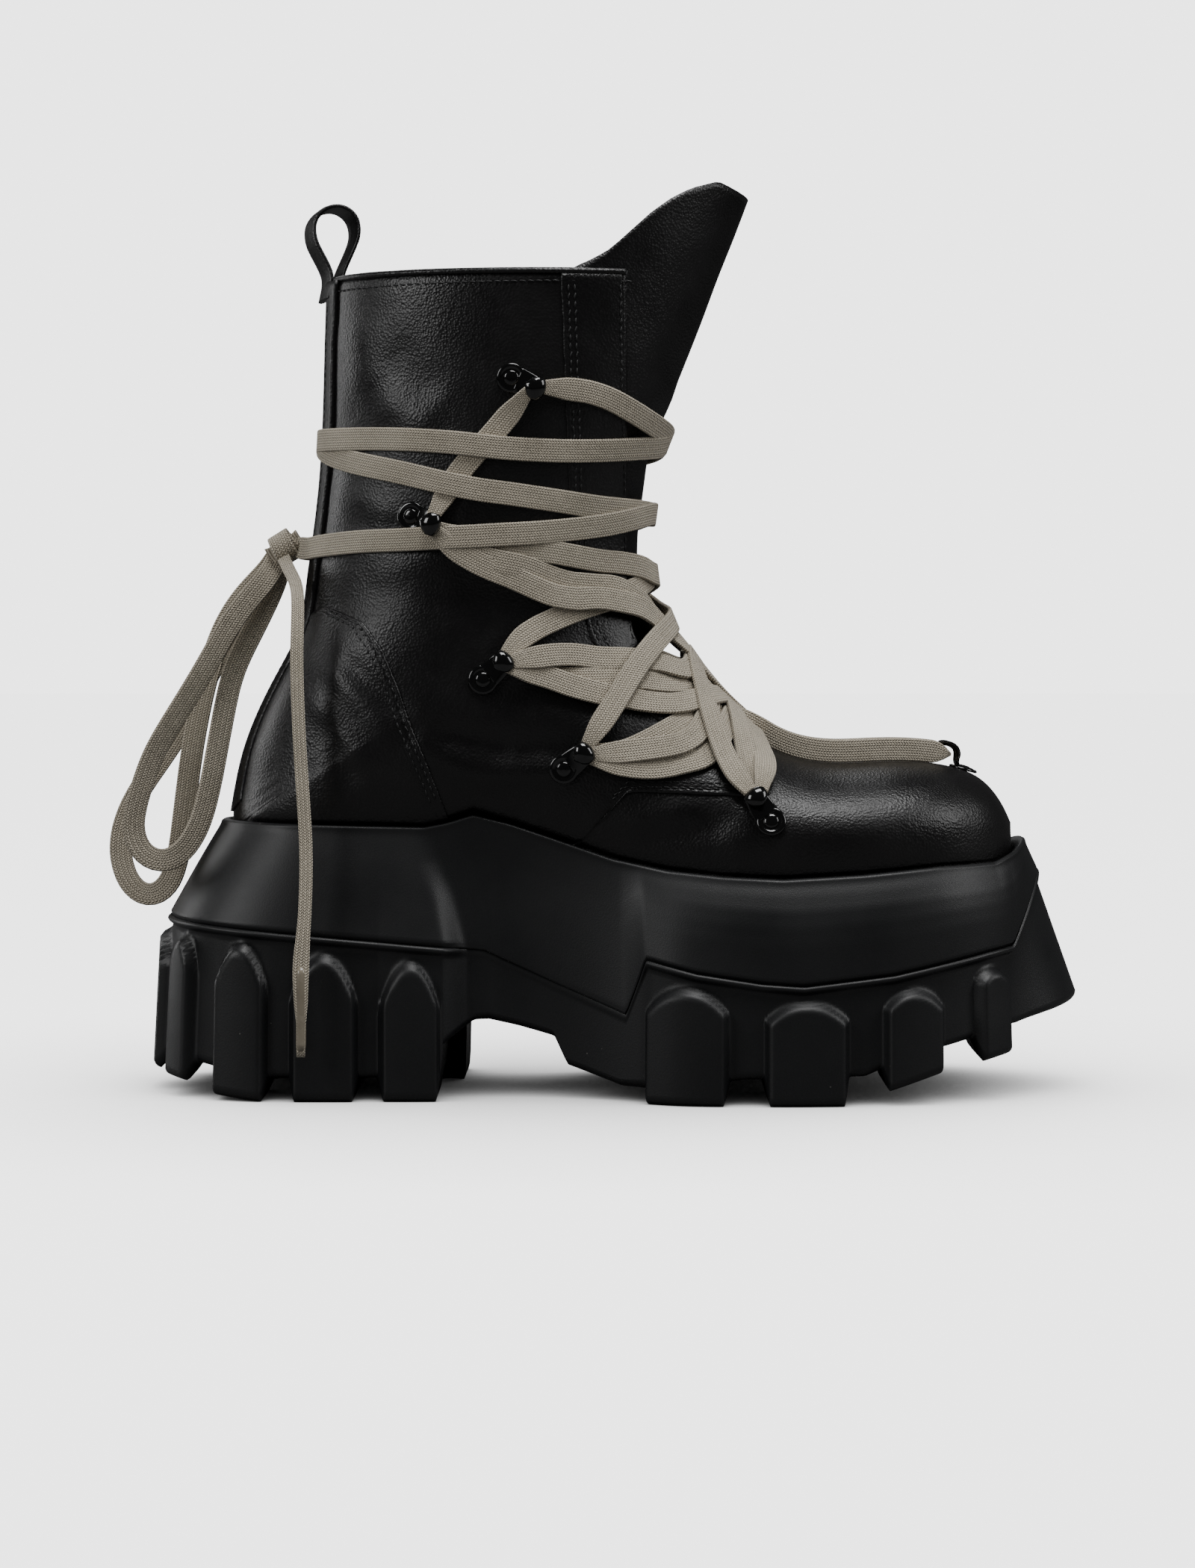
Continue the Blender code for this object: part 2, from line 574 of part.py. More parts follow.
def even_path(points, step):
    """Points at even steps along a line of points, ends kept."""
    length = np.concatenate([[0.0], np.cumsum(np.linalg.norm(np.diff(points, axis=0), axis=1))])
    count = max(2, int(round(length[-1] / step)) + 1)
    at = np.linspace(0.0, length[-1], count)
    return np.stack([np.interp(at, length, points[:, k]) for k in range(points.shape[1])], axis=1)


def rounded(points, passes):
    """A line of points with its corners eased, ends kept."""
    points = np.array(points, dtype=float)
    for _ in range(passes):
        points[1:-1] = 0.5 * points[1:-1] + 0.25 * (points[:-2] + points[2:])
    return points


def rest_height(row, share, bar):
    """Height of a lace's middle over the upper's face: down on the tongue inside the throat."""
    throat = np.maximum(facing_share(row), 1e-3)
    inward = np.clip((0.72 * throat - np.abs(wrap(share))) / np.maximum(throat * 0.6, 0.02), 0.0, 1.0)
    inward = np.where(facing_share(row) > 0.0, inward, 0.0)
    drop = WALL + TONGUE_GAP
    back = np.clip((np.abs(wrap(share)) - 1.0 + STAY_SHARE + 0.13) / 0.12, 0.0, 1.0)
    return bar - drop * inward * inward * (3.0 - 2.0 * inward) + (2.0 * OVERLAY_GAP + STAY_DEPTH) * back


def lace_route(way, step, trims=(0.0, 0.0)):
    """Even (row, share) steps of a lace along the upper, from its waypoints, with a length left off each end."""
    way = np.array(way, dtype=float)
    fine = np.concatenate([
        way[i] + (way[i + 1] - way[i]) * np.linspace(0.0, 1.0, 12, endpoint=False)[:, None]
        for i in range(len(way) - 1)
    ] + [way[-1:]])
    fine = rounded(fine, 60)
    point = offset_point(fine[:, 0], wrap(fine[:, 1]), np.full(len(fine), 0.0))
    length = np.concatenate([[0.0], np.cumsum(np.linalg.norm(np.diff(point, axis=0), axis=1))])
    count = max(4, int(round((length[-1] - sum(trims)) / step)) + 1)
    at = np.linspace(trims[0], length[-1] - trims[1], count)
    return np.stack([np.interp(at, length, fine[:, 0]), np.interp(at, length, fine[:, 1])], axis=1)


def lace_strip(route, height):
    """Path, width direction and outward direction of a lace lying along a route."""
    row, share = route[:, 0], wrap(route[:, 1])
    low = offset_point(row, share, np.zeros(len(row)))
    high = offset_point(row, share, np.full(len(row), 0.001))
    normal = (high - low) / 0.001
    path = low + normal * height[:, None]
    tangent = np.gradient(path, axis=0)
    tangent /= np.linalg.norm(tangent, axis=1, keepdims=True)
    across = np.cross(tangent, normal)
    across /= np.linalg.norm(across, axis=1, keepdims=True)
    return path, across, np.cross(across, tangent)


def lace_runs():
    """Every lace run as waypoints: crossings from a lateral leg to a medial leg, and the two round the shaft."""
    runs = []
    for near, far in LACE_PAIRS:
        lateral = list(LACE_LEGS[near])
        medial = [(row, -share) for row, share in LACE_LEGS[far]]
        runs.append(lateral + medial[::-1])
    for side in (1.0, -1.0):
        runs.append([(row, side * share) for row, share in LACE_TOE])
        runs.append([(row, side * share) for row, share in LACE_BACKSTEP])
        runs.append([(row, side * share) for row, share in LACE_WRAP])
    return runs


def new_object(name, points, faces, material, collection, weld=0.00005):
    """Mesh object from points and faces: welded, flat slivers dropped, facing out."""
    mesh = bpy.data.meshes.new(name)
    mesh.from_pydata([tuple(p) for p in np.asarray(points) + FRAME_SHIFT], [], faces)
    body = bmesh.new()
    body.from_mesh(mesh)
    bmesh.ops.remove_doubles(body, verts=body.verts, dist=weld)
    bmesh.ops.dissolve_degenerate(body, edges=body.edges, dist=weld)
    if all(edge.is_manifold for edge in body.edges):
        bmesh.ops.recalc_face_normals(body, faces=body.faces)
    body.to_mesh(mesh)
    body.free()
    item = bpy.data.objects.new(name, mesh)
    item.data.materials.append(material)
    collection.objects.link(item)
    return item


def shell(name, outer, inner, material, collection):
    """Closed sheet between two grids of points: both faces and the four rims, welded where rims meet."""
    rows, cols = outer.shape[:2]
    count = rows * cols
    faces = grid_faces(rows, cols) + [tuple(v + count for v in f) for f in grid_faces(rows, cols, True)]
    rim = [i * cols for i in range(rows)]
    rim += [(rows - 1) * cols + j for j in range(1, cols)]
    rim += [i * cols + cols - 1 for i in range(rows - 2, -1, -1)]
    rim += [j for j in range(cols - 2, 0, -1)]
    for a, b in zip(rim, rim[1:] + rim[:1]):
        faces.append((a, b, b + count, a + count))
    return new_object(name, np.concatenate([outer.reshape(-1, 3), inner.reshape(-1, 3)]), faces, material, collection)


def thicken(item, depth):
    """Gives an open surface a wall of even depth on its inner side."""
    wall = item.modifiers.new("wall", "SOLIDIFY")
    wall.thickness = depth
    wall.offset = -1.0
    wall.use_even_offset = True
    wall.thickness_clamp = 0.0
    wall.use_quality_normals = True


def tube(name, loops, material, collection):
    """Closed body from cross-sections with the same number of points, one after another."""
    stations, points = loops.shape[:2]
    faces = []
    for i in range(stations - 1):
        for j in range(points):
            k = (j + 1) % points
            faces.append((i * points + j, i * points + k, (i + 1) * points + k, (i + 1) * points + j))
    return new_object(name, loops.reshape(-1, 3), faces, material, collection)


def ribbon(path, across, normal, width, depth):
    """Cross-sections of a flat strip along a path: four corners at each path point."""
    width = np.broadcast_to(np.asarray(width, dtype=float), (len(path),))[:, None]
    corners = [
        path + across * width * a + normal * depth * b
        for a, b in ((-0.5, -0.5), (0.5, -0.5), (0.5, 0.5), (-0.5, 0.5))
    ]
    return np.stack(corners, axis=1)


def strip(name, loops, material, collection):
    """Closed body from a ribbon's cross-sections with both ends capped."""
    stations, points = loops.shape[:2]
    faces = []
    for i in range(stations - 1):
        for j in range(points):
            k = (j + 1) % points
            faces.append((i * points + j, i * points + k, (i + 1) * points + k, (i + 1) * points + j))
    faces.append(tuple(range(points)))
    faces.append(tuple((stations - 1) * points + j for j in reversed(range(points))))
    return new_object(name, loops.reshape(-1, 3), faces, material, collection, 0.00002)


def material(name, colour, rough, metal=0.0):
    """Plain Principled material."""
    item = bpy.data.materials.new(name)
    item.use_nodes = True
    shader = item.node_tree.nodes["Principled BSDF"]
    shader.inputs["Base Color"].default_value = (*colour, 1.0)
    shader.inputs["Roughness"].default_value = rough
    shader.inputs["Metallic"].default_value = metal
    item.diffuse_color = (*colour, 1.0)
    return item


def midsole_loop(station):
    """Cross-section of the midsole at a station: cup floor, rim, side wall down to the ledge, both sides."""
    sides = []
    for side in (-1.0, 1.0):
        u = np.array([station])
        rows = []
        top = edge_point("top", u, side)[0]
        ledge = edge_point("ledge", u, side)[0]
        bulge = BALL_WIDTH * spline(STATION["bulge"], u)[0]
        out = edge_point("top", u, side, np.array([0.01]))[0] - top
        out /= np.linalg.norm(out)
        top_z = side_line(TOP_LINE, top[0])
        ledge_z = side_line(LEDGE_LINE, ledge[0])
        inner = edge_point("top", u, side, np.array([-RIM]))[0]
        rows.append((*inner, float(floor_line(inner[0]))))
        rows.append((*inner, side_line(TOP_LINE, inner[0])))
        rows.append((*(top - out * EDGE_ROUND), top_z))
        rows.append((*top, top_z - EDGE_ROUND))
        for blend in (0.3, 0.62):
            plan = top + (ledge - top) * blend + out * bulge * (1.0 if blend < 0.5 else 0.8)
            rows.append((*plan, top_z + (ledge_z - top_z) * blend))
        inward = -out if station < 3.0 or station > 16.0 else np.array([0.0, -side])
        low = ledge + inward * LEDGE_STEP
        rows.append((*low, side_line(LEDGE_LINE, low[0]) + 0.002))
        low = ledge + inward * (LEDGE_STEP + 0.0005)
        rows.append((*low, side_line(LEDGE_LINE, low[0]) + GAP))
        sides.append(rows)
    return np.array(sides[0] + sides[1][::-1])


def stops_at(edge, tables):
    """Stations where the top edge or ledge passes the points of the given side lines."""
    points = np.concatenate([columns(table)["x"] for table in tables])
    inside = points[(points > 0.0) & (HEEL_X + TOP_LENGTH * points < 0.148)]
    return np.unique(np.round(station_at(edge, HEEL_X + TOP_LENGTH * inside), 4))


def lug_stations():
    """Stations of the outsole down each side, each with its pad share (0 in a notch) and the pad's top height."""
    lugs = columns(LUGS)
    sides = []
    for name in ("lateral", "medial"):
        rows = []
        taken = []
        for i in range(len(LUGS) - 1):
            ahead = HEEL_X + TOP_LENGTH * lugs[name + "_front"][i]
            behind = HEEL_X + TOP_LENGTH * lugs[name + "_back"][i]
            apex, shoulder = COLLAR_HEIGHT * lugs["apex"][i], COLLAR_HEIGHT * lugs["shoulder"][i]
            rows.append((station_at("ledge", ahead + LUG_EDGE), 0.0, shoulder))
            if i == len(LUGS) - 2:
                start = station_at("ledge", ahead)
                for share in (0.0, 0.4, 1.0):
                    top = shoulder + (apex - shoulder) * (1.0 - (1.0 - share) ** 2)
                    rows.append((start + (HEEL_TIP - start) * share, 1.0, top))
                taken.append((start - 0.1, HEEL_TIP))
                continue
            for share in (-1.0, -0.6, 0.0, 0.6, 1.0):
                top = shoulder + (apex - shoulder) * (1.0 - abs(share) ** 2.2)
                rows.append((station_at("ledge", ahead + (behind - ahead) * (0.5 + 0.5 * share)), 1.0, top))
            rows.append((station_at("ledge", behind - LUG_EDGE), 0.0, shoulder))
            taken.append((rows[-7][0], rows[-1][0]))
        rows += [(u, 0.0, None) for u in PLAIN_TOE]
        for u in stops_at("ledge", (LEDGE_LINE, BASE_LINE)):
            within = [k for k, (low, high) in enumerate(taken) if low - 0.02 < u < high + 0.02]
            if not within:
                rows.append((u, 0.0, None))
            elif u in LEDGE_STOPS:
                near = [row for row in rows if row[2] is not None]
                near.sort(key=lambda row: row[0])
                stations = [row[0] for row in near]
                rows.append((
                    u,
                    float(np.interp(u, stations, [row[1] for row in near])),
                    float(np.interp(u, stations, [row[2] for row in near])),
                ))
        rows.sort(key=lambda row: row[0])
        sides.append(rows)
    return list(zip(*sides))


def outsole_side(stop, side):
    """One side of an outsole cross-section, from the ledge down to the tread."""
    station, pad, pad_top = stop
    u = np.array([station])
    ledge = edge_point("ledge", u, side)[0]
    out = edge_point("ledge", u, side, np.array([0.01]))[0] - ledge
    out /= np.linalg.norm(out)
    lean = BALL_WIDTH * spline(STATION["lean"], u)[0]
    ledge_z = side_line(LEDGE_LINE, ledge[0])
    low_z = side_line(LUG_LINE, ledge[0]) if pad else side_line(BASE_LINE, ledge[0])
    if pad_top is None:
        pad_top = low_z + (ledge_z - low_z) * 0.6
    wall = -LEDGE_LIP
    deep = max(ledge_z - low_z, 0.001)
    rows = []
    rows.append((*ledge, ledge_z))
    rows.append((*(ledge + out * 0.0003), ledge_z - 0.0015))
    share = (ledge_z - pad_top) / deep
    rows.append((*(ledge + out * (wall + lean * share)), pad_top + 0.001))
    rows.append((*(ledge + out * (wall + lean * share + pad * LUG_PROUD)), pad_top - 0.001))
    rows.append((*(ledge + out * (wall + lean + pad * LUG_PROUD)), low_z + 0.003))
    rows.append((*(ledge + out * (wall + lean + pad * LUG_PROUD - 0.002)), low_z))
    return rows


def tongue_top_row(column, lift):
    """Row at which a column of the tongue meets its top edge."""
    edge = columns(TONGUE_EDGE)
    fine = np.linspace(28.0, 32.0, 401)
    share = column * np.interp(fine, edge["row"], edge["share"])
    point = offset_point(fine, share, np.full(401, lift))
    top = side_line(TONGUE_TOP, point[:, 0])
    over = np.nonzero(point[:, 2] >= top)[0]
    return fine[over[0]] if len(over) else 32.0


def seam_share(row):
    """Share at which the counter's front seam crosses a section."""
    line = columns(COUNTER_SEAM)
    fine = np.linspace(0.3, 1.0, 701)
    point = upper_raw(np.full(701, row), fine)
    order = np.argsort(line["z"])
    edge = np.interp(point[:, 2], COLLAR_HEIGHT * line["z"][order], HEEL_X + TOP_LENGTH * line["x"][order])
    past = np.nonzero(point[:, 0] <= edge)[0]
    return min(fine[past[0]] if len(past) else 1.0, 1.0 - STAY_SHARE - 0.03)


def rim_share(row):
    """Share at which a counter panel stops: over the sole's rim, or beside the back stay."""
    fine = np.linspace(0.3, 1.0, 701)
    point = upper_point(np.full(701, row), fine)
    above = np.nonzero(point[:, 2] > side_line(TOP_LINE, point[:, 0]) + RIM_CLEAR)[0]
    return min(fine[above[-1]], 1.0 - STAY_SHARE - 0.008)


for old in list(bpy.data.objects):
    bpy.data.objects.remove(old, do_unlink=True)
boot = bpy.data.collections.new("lug sole boot")
bpy.context.scene.collection.children.link(boot)

rubber = material("black moulded rubber", (0.012, 0.012, 0.013), 0.55)
leather = material("black leather", (0.010, 0.010, 0.011), 0.42)
lining = material("dark leather lining", (0.02, 0.018, 0.016), 0.7)
metal = material("black enamelled metal", (0.006, 0.006, 0.006), 0.15)
cotton = material("taupe woven cotton", (0.29, 0.25, 0.19), 0.9)

# Sole: outsole with its lugs, and the midsole that carries the rim
LEDGE_STOPS = stops_at("ledge", (LEDGE_LINE,))
outsole_loops = []
for lateral_stop, medial_stop in lug_stations():
    outsole_loops.append(outsole_side(lateral_stop, -1.0) + outsole_side(medial_stop, 1.0)[::-1])
tube("outsole", np.array(outsole_loops), rubber, boot)
midsole_stops = np.concatenate([ROWS[:20], PLAIN_TOE, stops_at("top", (TOP_LINE,)), LEDGE_STOPS])
midsole_stops = np.unique(np.round(midsole_stops, 2))
tube("midsole", np.array([midsole_loop(u) for u in midsole_stops]), rubber, boot)

# Insole on the cup floor
insole_rows = ROWS[:20]
insole_top, insole_low = [], []
for side in (-1.0, 1.0):
    plan = edge_point("top", insole_rows, side, np.full(len(insole_rows), -RIM - RIM_GAP - WALL - 0.0012))
    floor = floor_line(plan[:, 0]) + FLOOR_GAP
    insole_low.append(np.column_stack([plan, floor]))
    insole_top.append(np.column_stack([plan, floor + INSOLE_DEPTH]))
insole_loops = np.stack([insole_low[0], insole_top[0], insole_top[1], insole_low[1]], axis=1)
tube("insole", insole_loops, lining, boot)

# Upper: one hollow skin, open at the collar, the throat and underneath
upper_rows = np.concatenate([ROWS[:8], np.arange(8.0, 10.0, 0.5), ROWS[10:30]])
upper_rows = np.array(sorted(set(upper_rows)))
upper_columns = np.linspace(0.0, 1.0, UPPER_COLUMNS + 1)
throat = facing_share(upper_rows)
upper_points = []
for side in (1.0, -1.0):
    share = throat[:, None] + (1.0 - throat[:, None]) * upper_columns[None, :]
    upper_points.append(upper_point(upper_rows[:, None], side * np.maximum(share, 1e-9)))
row_count, column_count = upper_points[0].shape[:2]
half = row_count * column_count
upper_faces = grid_faces(row_count, column_count, True)
upper_faces += [tuple(v + half for v in f) for f in grid_faces(row_count, column_count)]
upper = new_object(
    "upper", np.concatenate([p.reshape(-1, 3) for p in upper_points]), upper_faces, leather, boot, 0.0002
)
thicken(upper, WALL)

# Tongue inside the throat, rising over the collar
tongue_shares = np.linspace(-1.0, 1.0, TONGUE_COLUMNS)
tongue_levels = np.linspace(0.0, 1.0, TONGUE_ROWS)
tongue_line = columns(TONGUE_EDGE)
tongue_faces = []
for lift in (-WALL - TONGUE_GAP, -WALL - TONGUE_GAP - TONGUE_DEPTH):
    sheet = np.zeros((TONGUE_ROWS, TONGUE_COLUMNS, 3))
    for j, column in enumerate(tongue_shares):
        top_row = tongue_top_row(column, lift)
        rows = tongue_line["row"][0] + (top_row - tongue_line["row"][0]) * tongue_levels
        share = column * np.interp(rows, tongue_line["row"], tongue_line["share"])
        sheet[:, j] = offset_point(rows, share, np.full(TONGUE_ROWS, lift))
    tongue_faces.append(sheet)
shell("tongue", tongue_faces[0], tongue_faces[1], leather, boot)

# Back stay down the rear seam, and the counter panels either side of it
stay_rows = np.linspace(STAY_FOOT, COLLAR_ROW, 10)
stay_shares = wrap(np.linspace(1.0 - STAY_SHARE, 1.0 + STAY_SHARE, 5))
stay_sheets = [
    offset_point(stay_rows[:, None], stay_shares[None, :], np.full((10, 5), lift)) for lift in (OVERLAY_GAP + STAY_DEPTH, OVERLAY_GAP)
]
shell("back_stay", stay_sheets[0], stay_sheets[1], leather, boot)
for side, name in ((1.0, "counter_lateral"), (-1.0, "counter_medial")):
    rows = np.linspace(COUNTER_FOOT, COUNTER_HEAD, 10)
    seam = np.array([seam_share(r) for r in rows])
    low = np.array([rim_share(r) for r in rows])
    shares = seam[:, None] + (low - seam)[:, None] * np.linspace(0.0, 1.0, 5)[None, :]
    sheets = [
        offset_point(rows[:, None], side * shares, np.full(shares.shape, lift)) for lift in (OVERLAY_GAP + COUNTER_DEPTH, OVERLAY_GAP)
    ]
    shell(name, sheets[0], sheets[1], leather, boot)

# Pull loop, a folded strip standing on the collar's back
loop = columns(PULL_LOOP)
loop_path = np.column_stack([
    HEEL_X + TOP_LENGTH * loop["x"], np.zeros(len(loop["x"])), COLLAR_HEIGHT * loop["z"]
])
loop_path = even_path(rounded(even_path(loop_path, 0.002), 4), 0.0055)
loop_tangent = np.gradient(loop_path, axis=0)
loop_tangent /= np.linalg.norm(loop_tangent, axis=1, keepdims=True)
loop_across = np.tile([math.sin(-LOOP_TURN), math.cos(LOOP_TURN), 0.0], (len(loop_path), 1))
loop_normal = np.cross(loop_across, loop_tangent)
strip("pull_loop", ribbon(loop_path, loop_across, loop_normal, LOOP_WIDTH, LOOP_DEPTH), leather, boot)


def hook_body(name, row, share, aim_row, aim_share):
    """Lace hook: round-ended foot plate on the leather, folded up and back over the lace at its front."""
    seat = offset_point(row, share, 0.0)
    ahead = offset_point(aim_row, aim_share, 0.0) - seat
    normal = (offset_point(row, share, 0.001) - seat) / 0.001
    ahead -= normal * (ahead @ normal)
    ahead /= np.linalg.norm(ahead)
    across = np.cross(ahead, normal)
    rows = columns(HOOK_FOLD)
    path = np.array([seat + ahead * HOOK_SIZE * a + normal * HOOK_SIZE * h for a, h in zip(rows["along"], rows["up"])])
    tangent = np.gradient(path, axis=0)
    tangent /= np.linalg.norm(tangent, axis=1, keepdims=True)
    out = np.cross(tangent, across)
    out *= np.sign(out[0] @ normal)
    body = ribbon(path, np.tile(across, (len(path), 1)), out, HOOK_SIZE * rows["width"], HOOK_DEPTH)
    strip(name, body, metal, boot)


for label, row, share, aim_row, aim_share in HOOKS[1:]:
    hook_body(label + "_lateral", row, share, aim_row, aim_share)
    hook_body(label + "_medial", row, -share, aim_row, -aim_share)
hook_body("hook_toe", TOE_HOOK_ROW, 1e-6, TOE_HOOK_ROW + 1.0, 1e-6)

# Lacing: every crossing and wrap in one joined solid
bars = []
for k, way in enumerate(lace_runs()):
    route = lace_route(way, BAR_STEP, (BAR_TRIM, 0.0 if abs(way[-1][1]) > 3.0 else BAR_TRIM))
    height = rest_height(route[:, 0], route[:, 1], BAR_LIFT + 0.0002 * (k % 5))
    path, across, out = lace_strip(route, height)
    bars.append(strip(f"bar {k}", ribbon(path, across, out, LACE_WIDTH, LACE_DEPTH), cotton, boot))
cutters = bpy.data.collections.new("lace bars")
bpy.context.scene.collection.children.link(cutters)
for bar in bars[1:]:
    boot.objects.unlink(bar)
    cutters.objects.link(bar)
    bar.hide_render = True
    bar.display_type = "WIRE"
join = bars[0].modifiers.new("join bars", "BOOLEAN")
join.operation = "UNION"
join.operand_type = "COLLECTION"
join.collection = cutters
join.solver = "EXACT"
join.use_self = True


def islands(body):
    """Groups of faces joined through their edges."""
    left = set(body.faces)
    groups = []
    while left:
        group = [left.pop()]
        for face in group:
            for edge in face.edges:
                for other in edge.link_faces if edge.is_manifold else ():
                    if other in left:
                        left.discard(other)
                        group.append(other)
        groups.append(group)
    return groups


def signed_volume(group):
    """Volume inside a closed group of faces; negative where they face a void between the bars."""
    total = 0.0
    for face in group:
        first = face.verts[0].co
        for a, b in zip(face.verts[1:-1], face.verts[2:]):
            total += first.dot(a.co.cross(b.co)) / 6.0
    return total


def keep_outside(item, name):
    """The joined bars as one solid, without the small voids between them."""
    whole = item.evaluated_get(bpy.context.evaluated_depsgraph_get())
    body = bmesh.new()
    body.from_mesh(whole.to_mesh())
    bmesh.ops.triangulate(body, faces=body.faces)
    groups = islands(body)
    volumes = [signed_volume(group) for group in groups]
    largest = volumes.index(max(volumes))
    spare = [face for i, group in enumerate(groups) if i != largest for face in group]
    bmesh.ops.delete(body, geom=spare, context="FACES")
    mesh = bpy.data.meshes.new(name)
    body.to_mesh(mesh)
    body.free()
    solid = bpy.data.objects.new(name, mesh)
    solid.data.materials.append(cotton)
    boot.objects.link(solid)
    bpy.data.objects.remove(item, do_unlink=True)


keep_outside(bars[0], "lacing")


def cord(name, table, width):
    """Hanging lace: a flat strip through a table's points, its face turned to the lateral side."""
    line = columns(table)
    points = np.column_stack([
        HEEL_X + TOP_LENGTH * line["x"], BALL_WIDTH * line["y"], COLLAR_HEIGHT * line["z"]
    ])
    path = even_path(rounded(even_path(points, 0.004), 6), 0.014)
    tangent = np.gradient(path, axis=0)
    tangent /= np.linalg.norm(tangent, axis=1, keepdims=True)
    face = np.array([0.0, -1.0, 0.0])
    across = np.cross(tangent, face)
    across /= np.linalg.norm(across, axis=1, keepdims=True)
    return strip(name, ribbon(path, across, np.cross(across, tangent), width, LACE_DEPTH), cotton, boot)


cord("bow_loop_outer", BOW_OUTER, LACE_WIDTH)
cord("bow_loop_inner", BOW_INNER, LACE_WIDTH)
cord("lace_end", LACE_END, LACE_WIDTH * 0.6)

# Knot behind the ankle
knot_points, knot_faces = [], []
for ring, (level, spread) in enumerate(((-1.0, 0.0), (-0.7, 0.7), (0.0, 1.0), (0.7, 0.7), (1.0, 0.0))):
    for turn in range(8):
        angle = turn * math.pi / 4.0
        knot_points.append(KNOT_AT + KNOT_SIZE * (spread * math.cos(angle), spread * math.sin(angle), level))
knot_faces = [
    (r * 8 + t, r * 8 + (t + 1) % 8, (r + 1) * 8 + (t + 1) % 8, (r + 1) * 8 + t) for r in range(4) for t in range(8)
]
new_object("lace_knot", knot_points, knot_faces, cotton, boot)
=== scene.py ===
"""Looks of the lug sole boot: leather, rubber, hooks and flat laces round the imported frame.

Pieces are worked out in millimetres: x to the toe, y to the medial side, z up from the floor. A point on the
upper is (row, share): row counts the sections of UPPER from the toe tip, share runs from the front centre (0)
round the lateral side to the sole or back seam (1), and to -1 on the medial side.
"""

import math

import bmesh
import bpy
import numpy as np
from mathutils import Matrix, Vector


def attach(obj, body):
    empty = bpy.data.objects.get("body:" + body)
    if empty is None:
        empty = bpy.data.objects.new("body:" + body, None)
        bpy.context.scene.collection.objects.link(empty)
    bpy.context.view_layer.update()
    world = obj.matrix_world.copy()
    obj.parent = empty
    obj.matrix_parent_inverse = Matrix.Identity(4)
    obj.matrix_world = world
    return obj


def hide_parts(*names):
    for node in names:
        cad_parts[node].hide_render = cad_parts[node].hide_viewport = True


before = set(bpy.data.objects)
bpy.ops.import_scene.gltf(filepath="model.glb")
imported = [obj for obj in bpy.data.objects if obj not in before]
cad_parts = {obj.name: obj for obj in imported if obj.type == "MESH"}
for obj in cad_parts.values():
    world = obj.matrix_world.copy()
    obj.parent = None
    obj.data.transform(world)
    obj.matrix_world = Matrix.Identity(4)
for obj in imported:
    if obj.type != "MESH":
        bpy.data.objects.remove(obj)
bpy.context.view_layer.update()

SHIFT = np.array([0.15, 0.61, 0.0])  # origin under the middle of the boot
WALL = 2.0  # the upper's leather with its lining
RIM = 3.0  # width of the sole's rim round the upper
FEATHER_IN = -RIM - 0.9  # where the leather meets the sole, in from the sole's top edge
CUP = 4.0  # depth of the recess that the upper stands in
THROAT_ROW = 8.0  # section where the throat opens
COLLAR_ROW = 29.0
PANEL = 0.9  # leather laid over leather
TONGUE_DROP = 3.8  # tongue below the quarters' form
STAY_HALF = 0.105  # half width of the back stay, as a share of the girth
LACE_WIDTH = 8.2
LACE_DEPTH = 1.4
LACE_STEP = 2.0  # between the sections of a lace laid on the boot

# Sole sections, toe tip to heel tip: top edge x and half width, ledge x and half width, centre, bulge, lean
STATIONS = (
    (147, 0, 152.3, 0, 5, 0, 16.9),
    (145, 17, 149, 20.5, 5, 0.5, 12.5),
    (139.3, 30, 141.5, 36, 4.5, 1.5, 3.5),
    (130, 39, 131, 46.5, 3.5, 2.2, 1.5),
    (117, 46.2, 117.5, 54, 2.5, 2.8, 1),
    (100, 50.5, 100, 58.5, 1, 3, 1),
    (80, 52.3, 80, 60.2, 0, 3, 1),
    (60, 52.3, 60, 60.4, -1, 3, 1),
    (40, 50, 40, 59.4, -1.5, 2.6, 1),
    (20, 45.5, 20, 56.5, -1.5, 1.8, 1),
    (0, 41.5, 2, 48, -1.2, 0.5, 0.5),
    (-20, 38.5, -20, 40.8, -1, -0.8, 0),
    (-40, 37.2, -42, 39.6, -0.5, -1.5, 0),
    (-60, 37, -62, 43.6, 0, -0.6, 0.8),
    (-80, 37.4, -84, 46.8, 0, 0.3, 1.6),
    (-100, 37, -107, 47.2, 0, 0.3, 2),
    (-117, 34, -128, 45.2, 0, 0.3, 2.4),
    (-131, 25.5, -146.5, 36.8, 0, 0.3, 2.7),
    (-139.3, 13.5, -158.2, 20.8, 0, 0.3, 2.9),
    (-142, 0, -162, 0, 0, 0.3, 3),
)
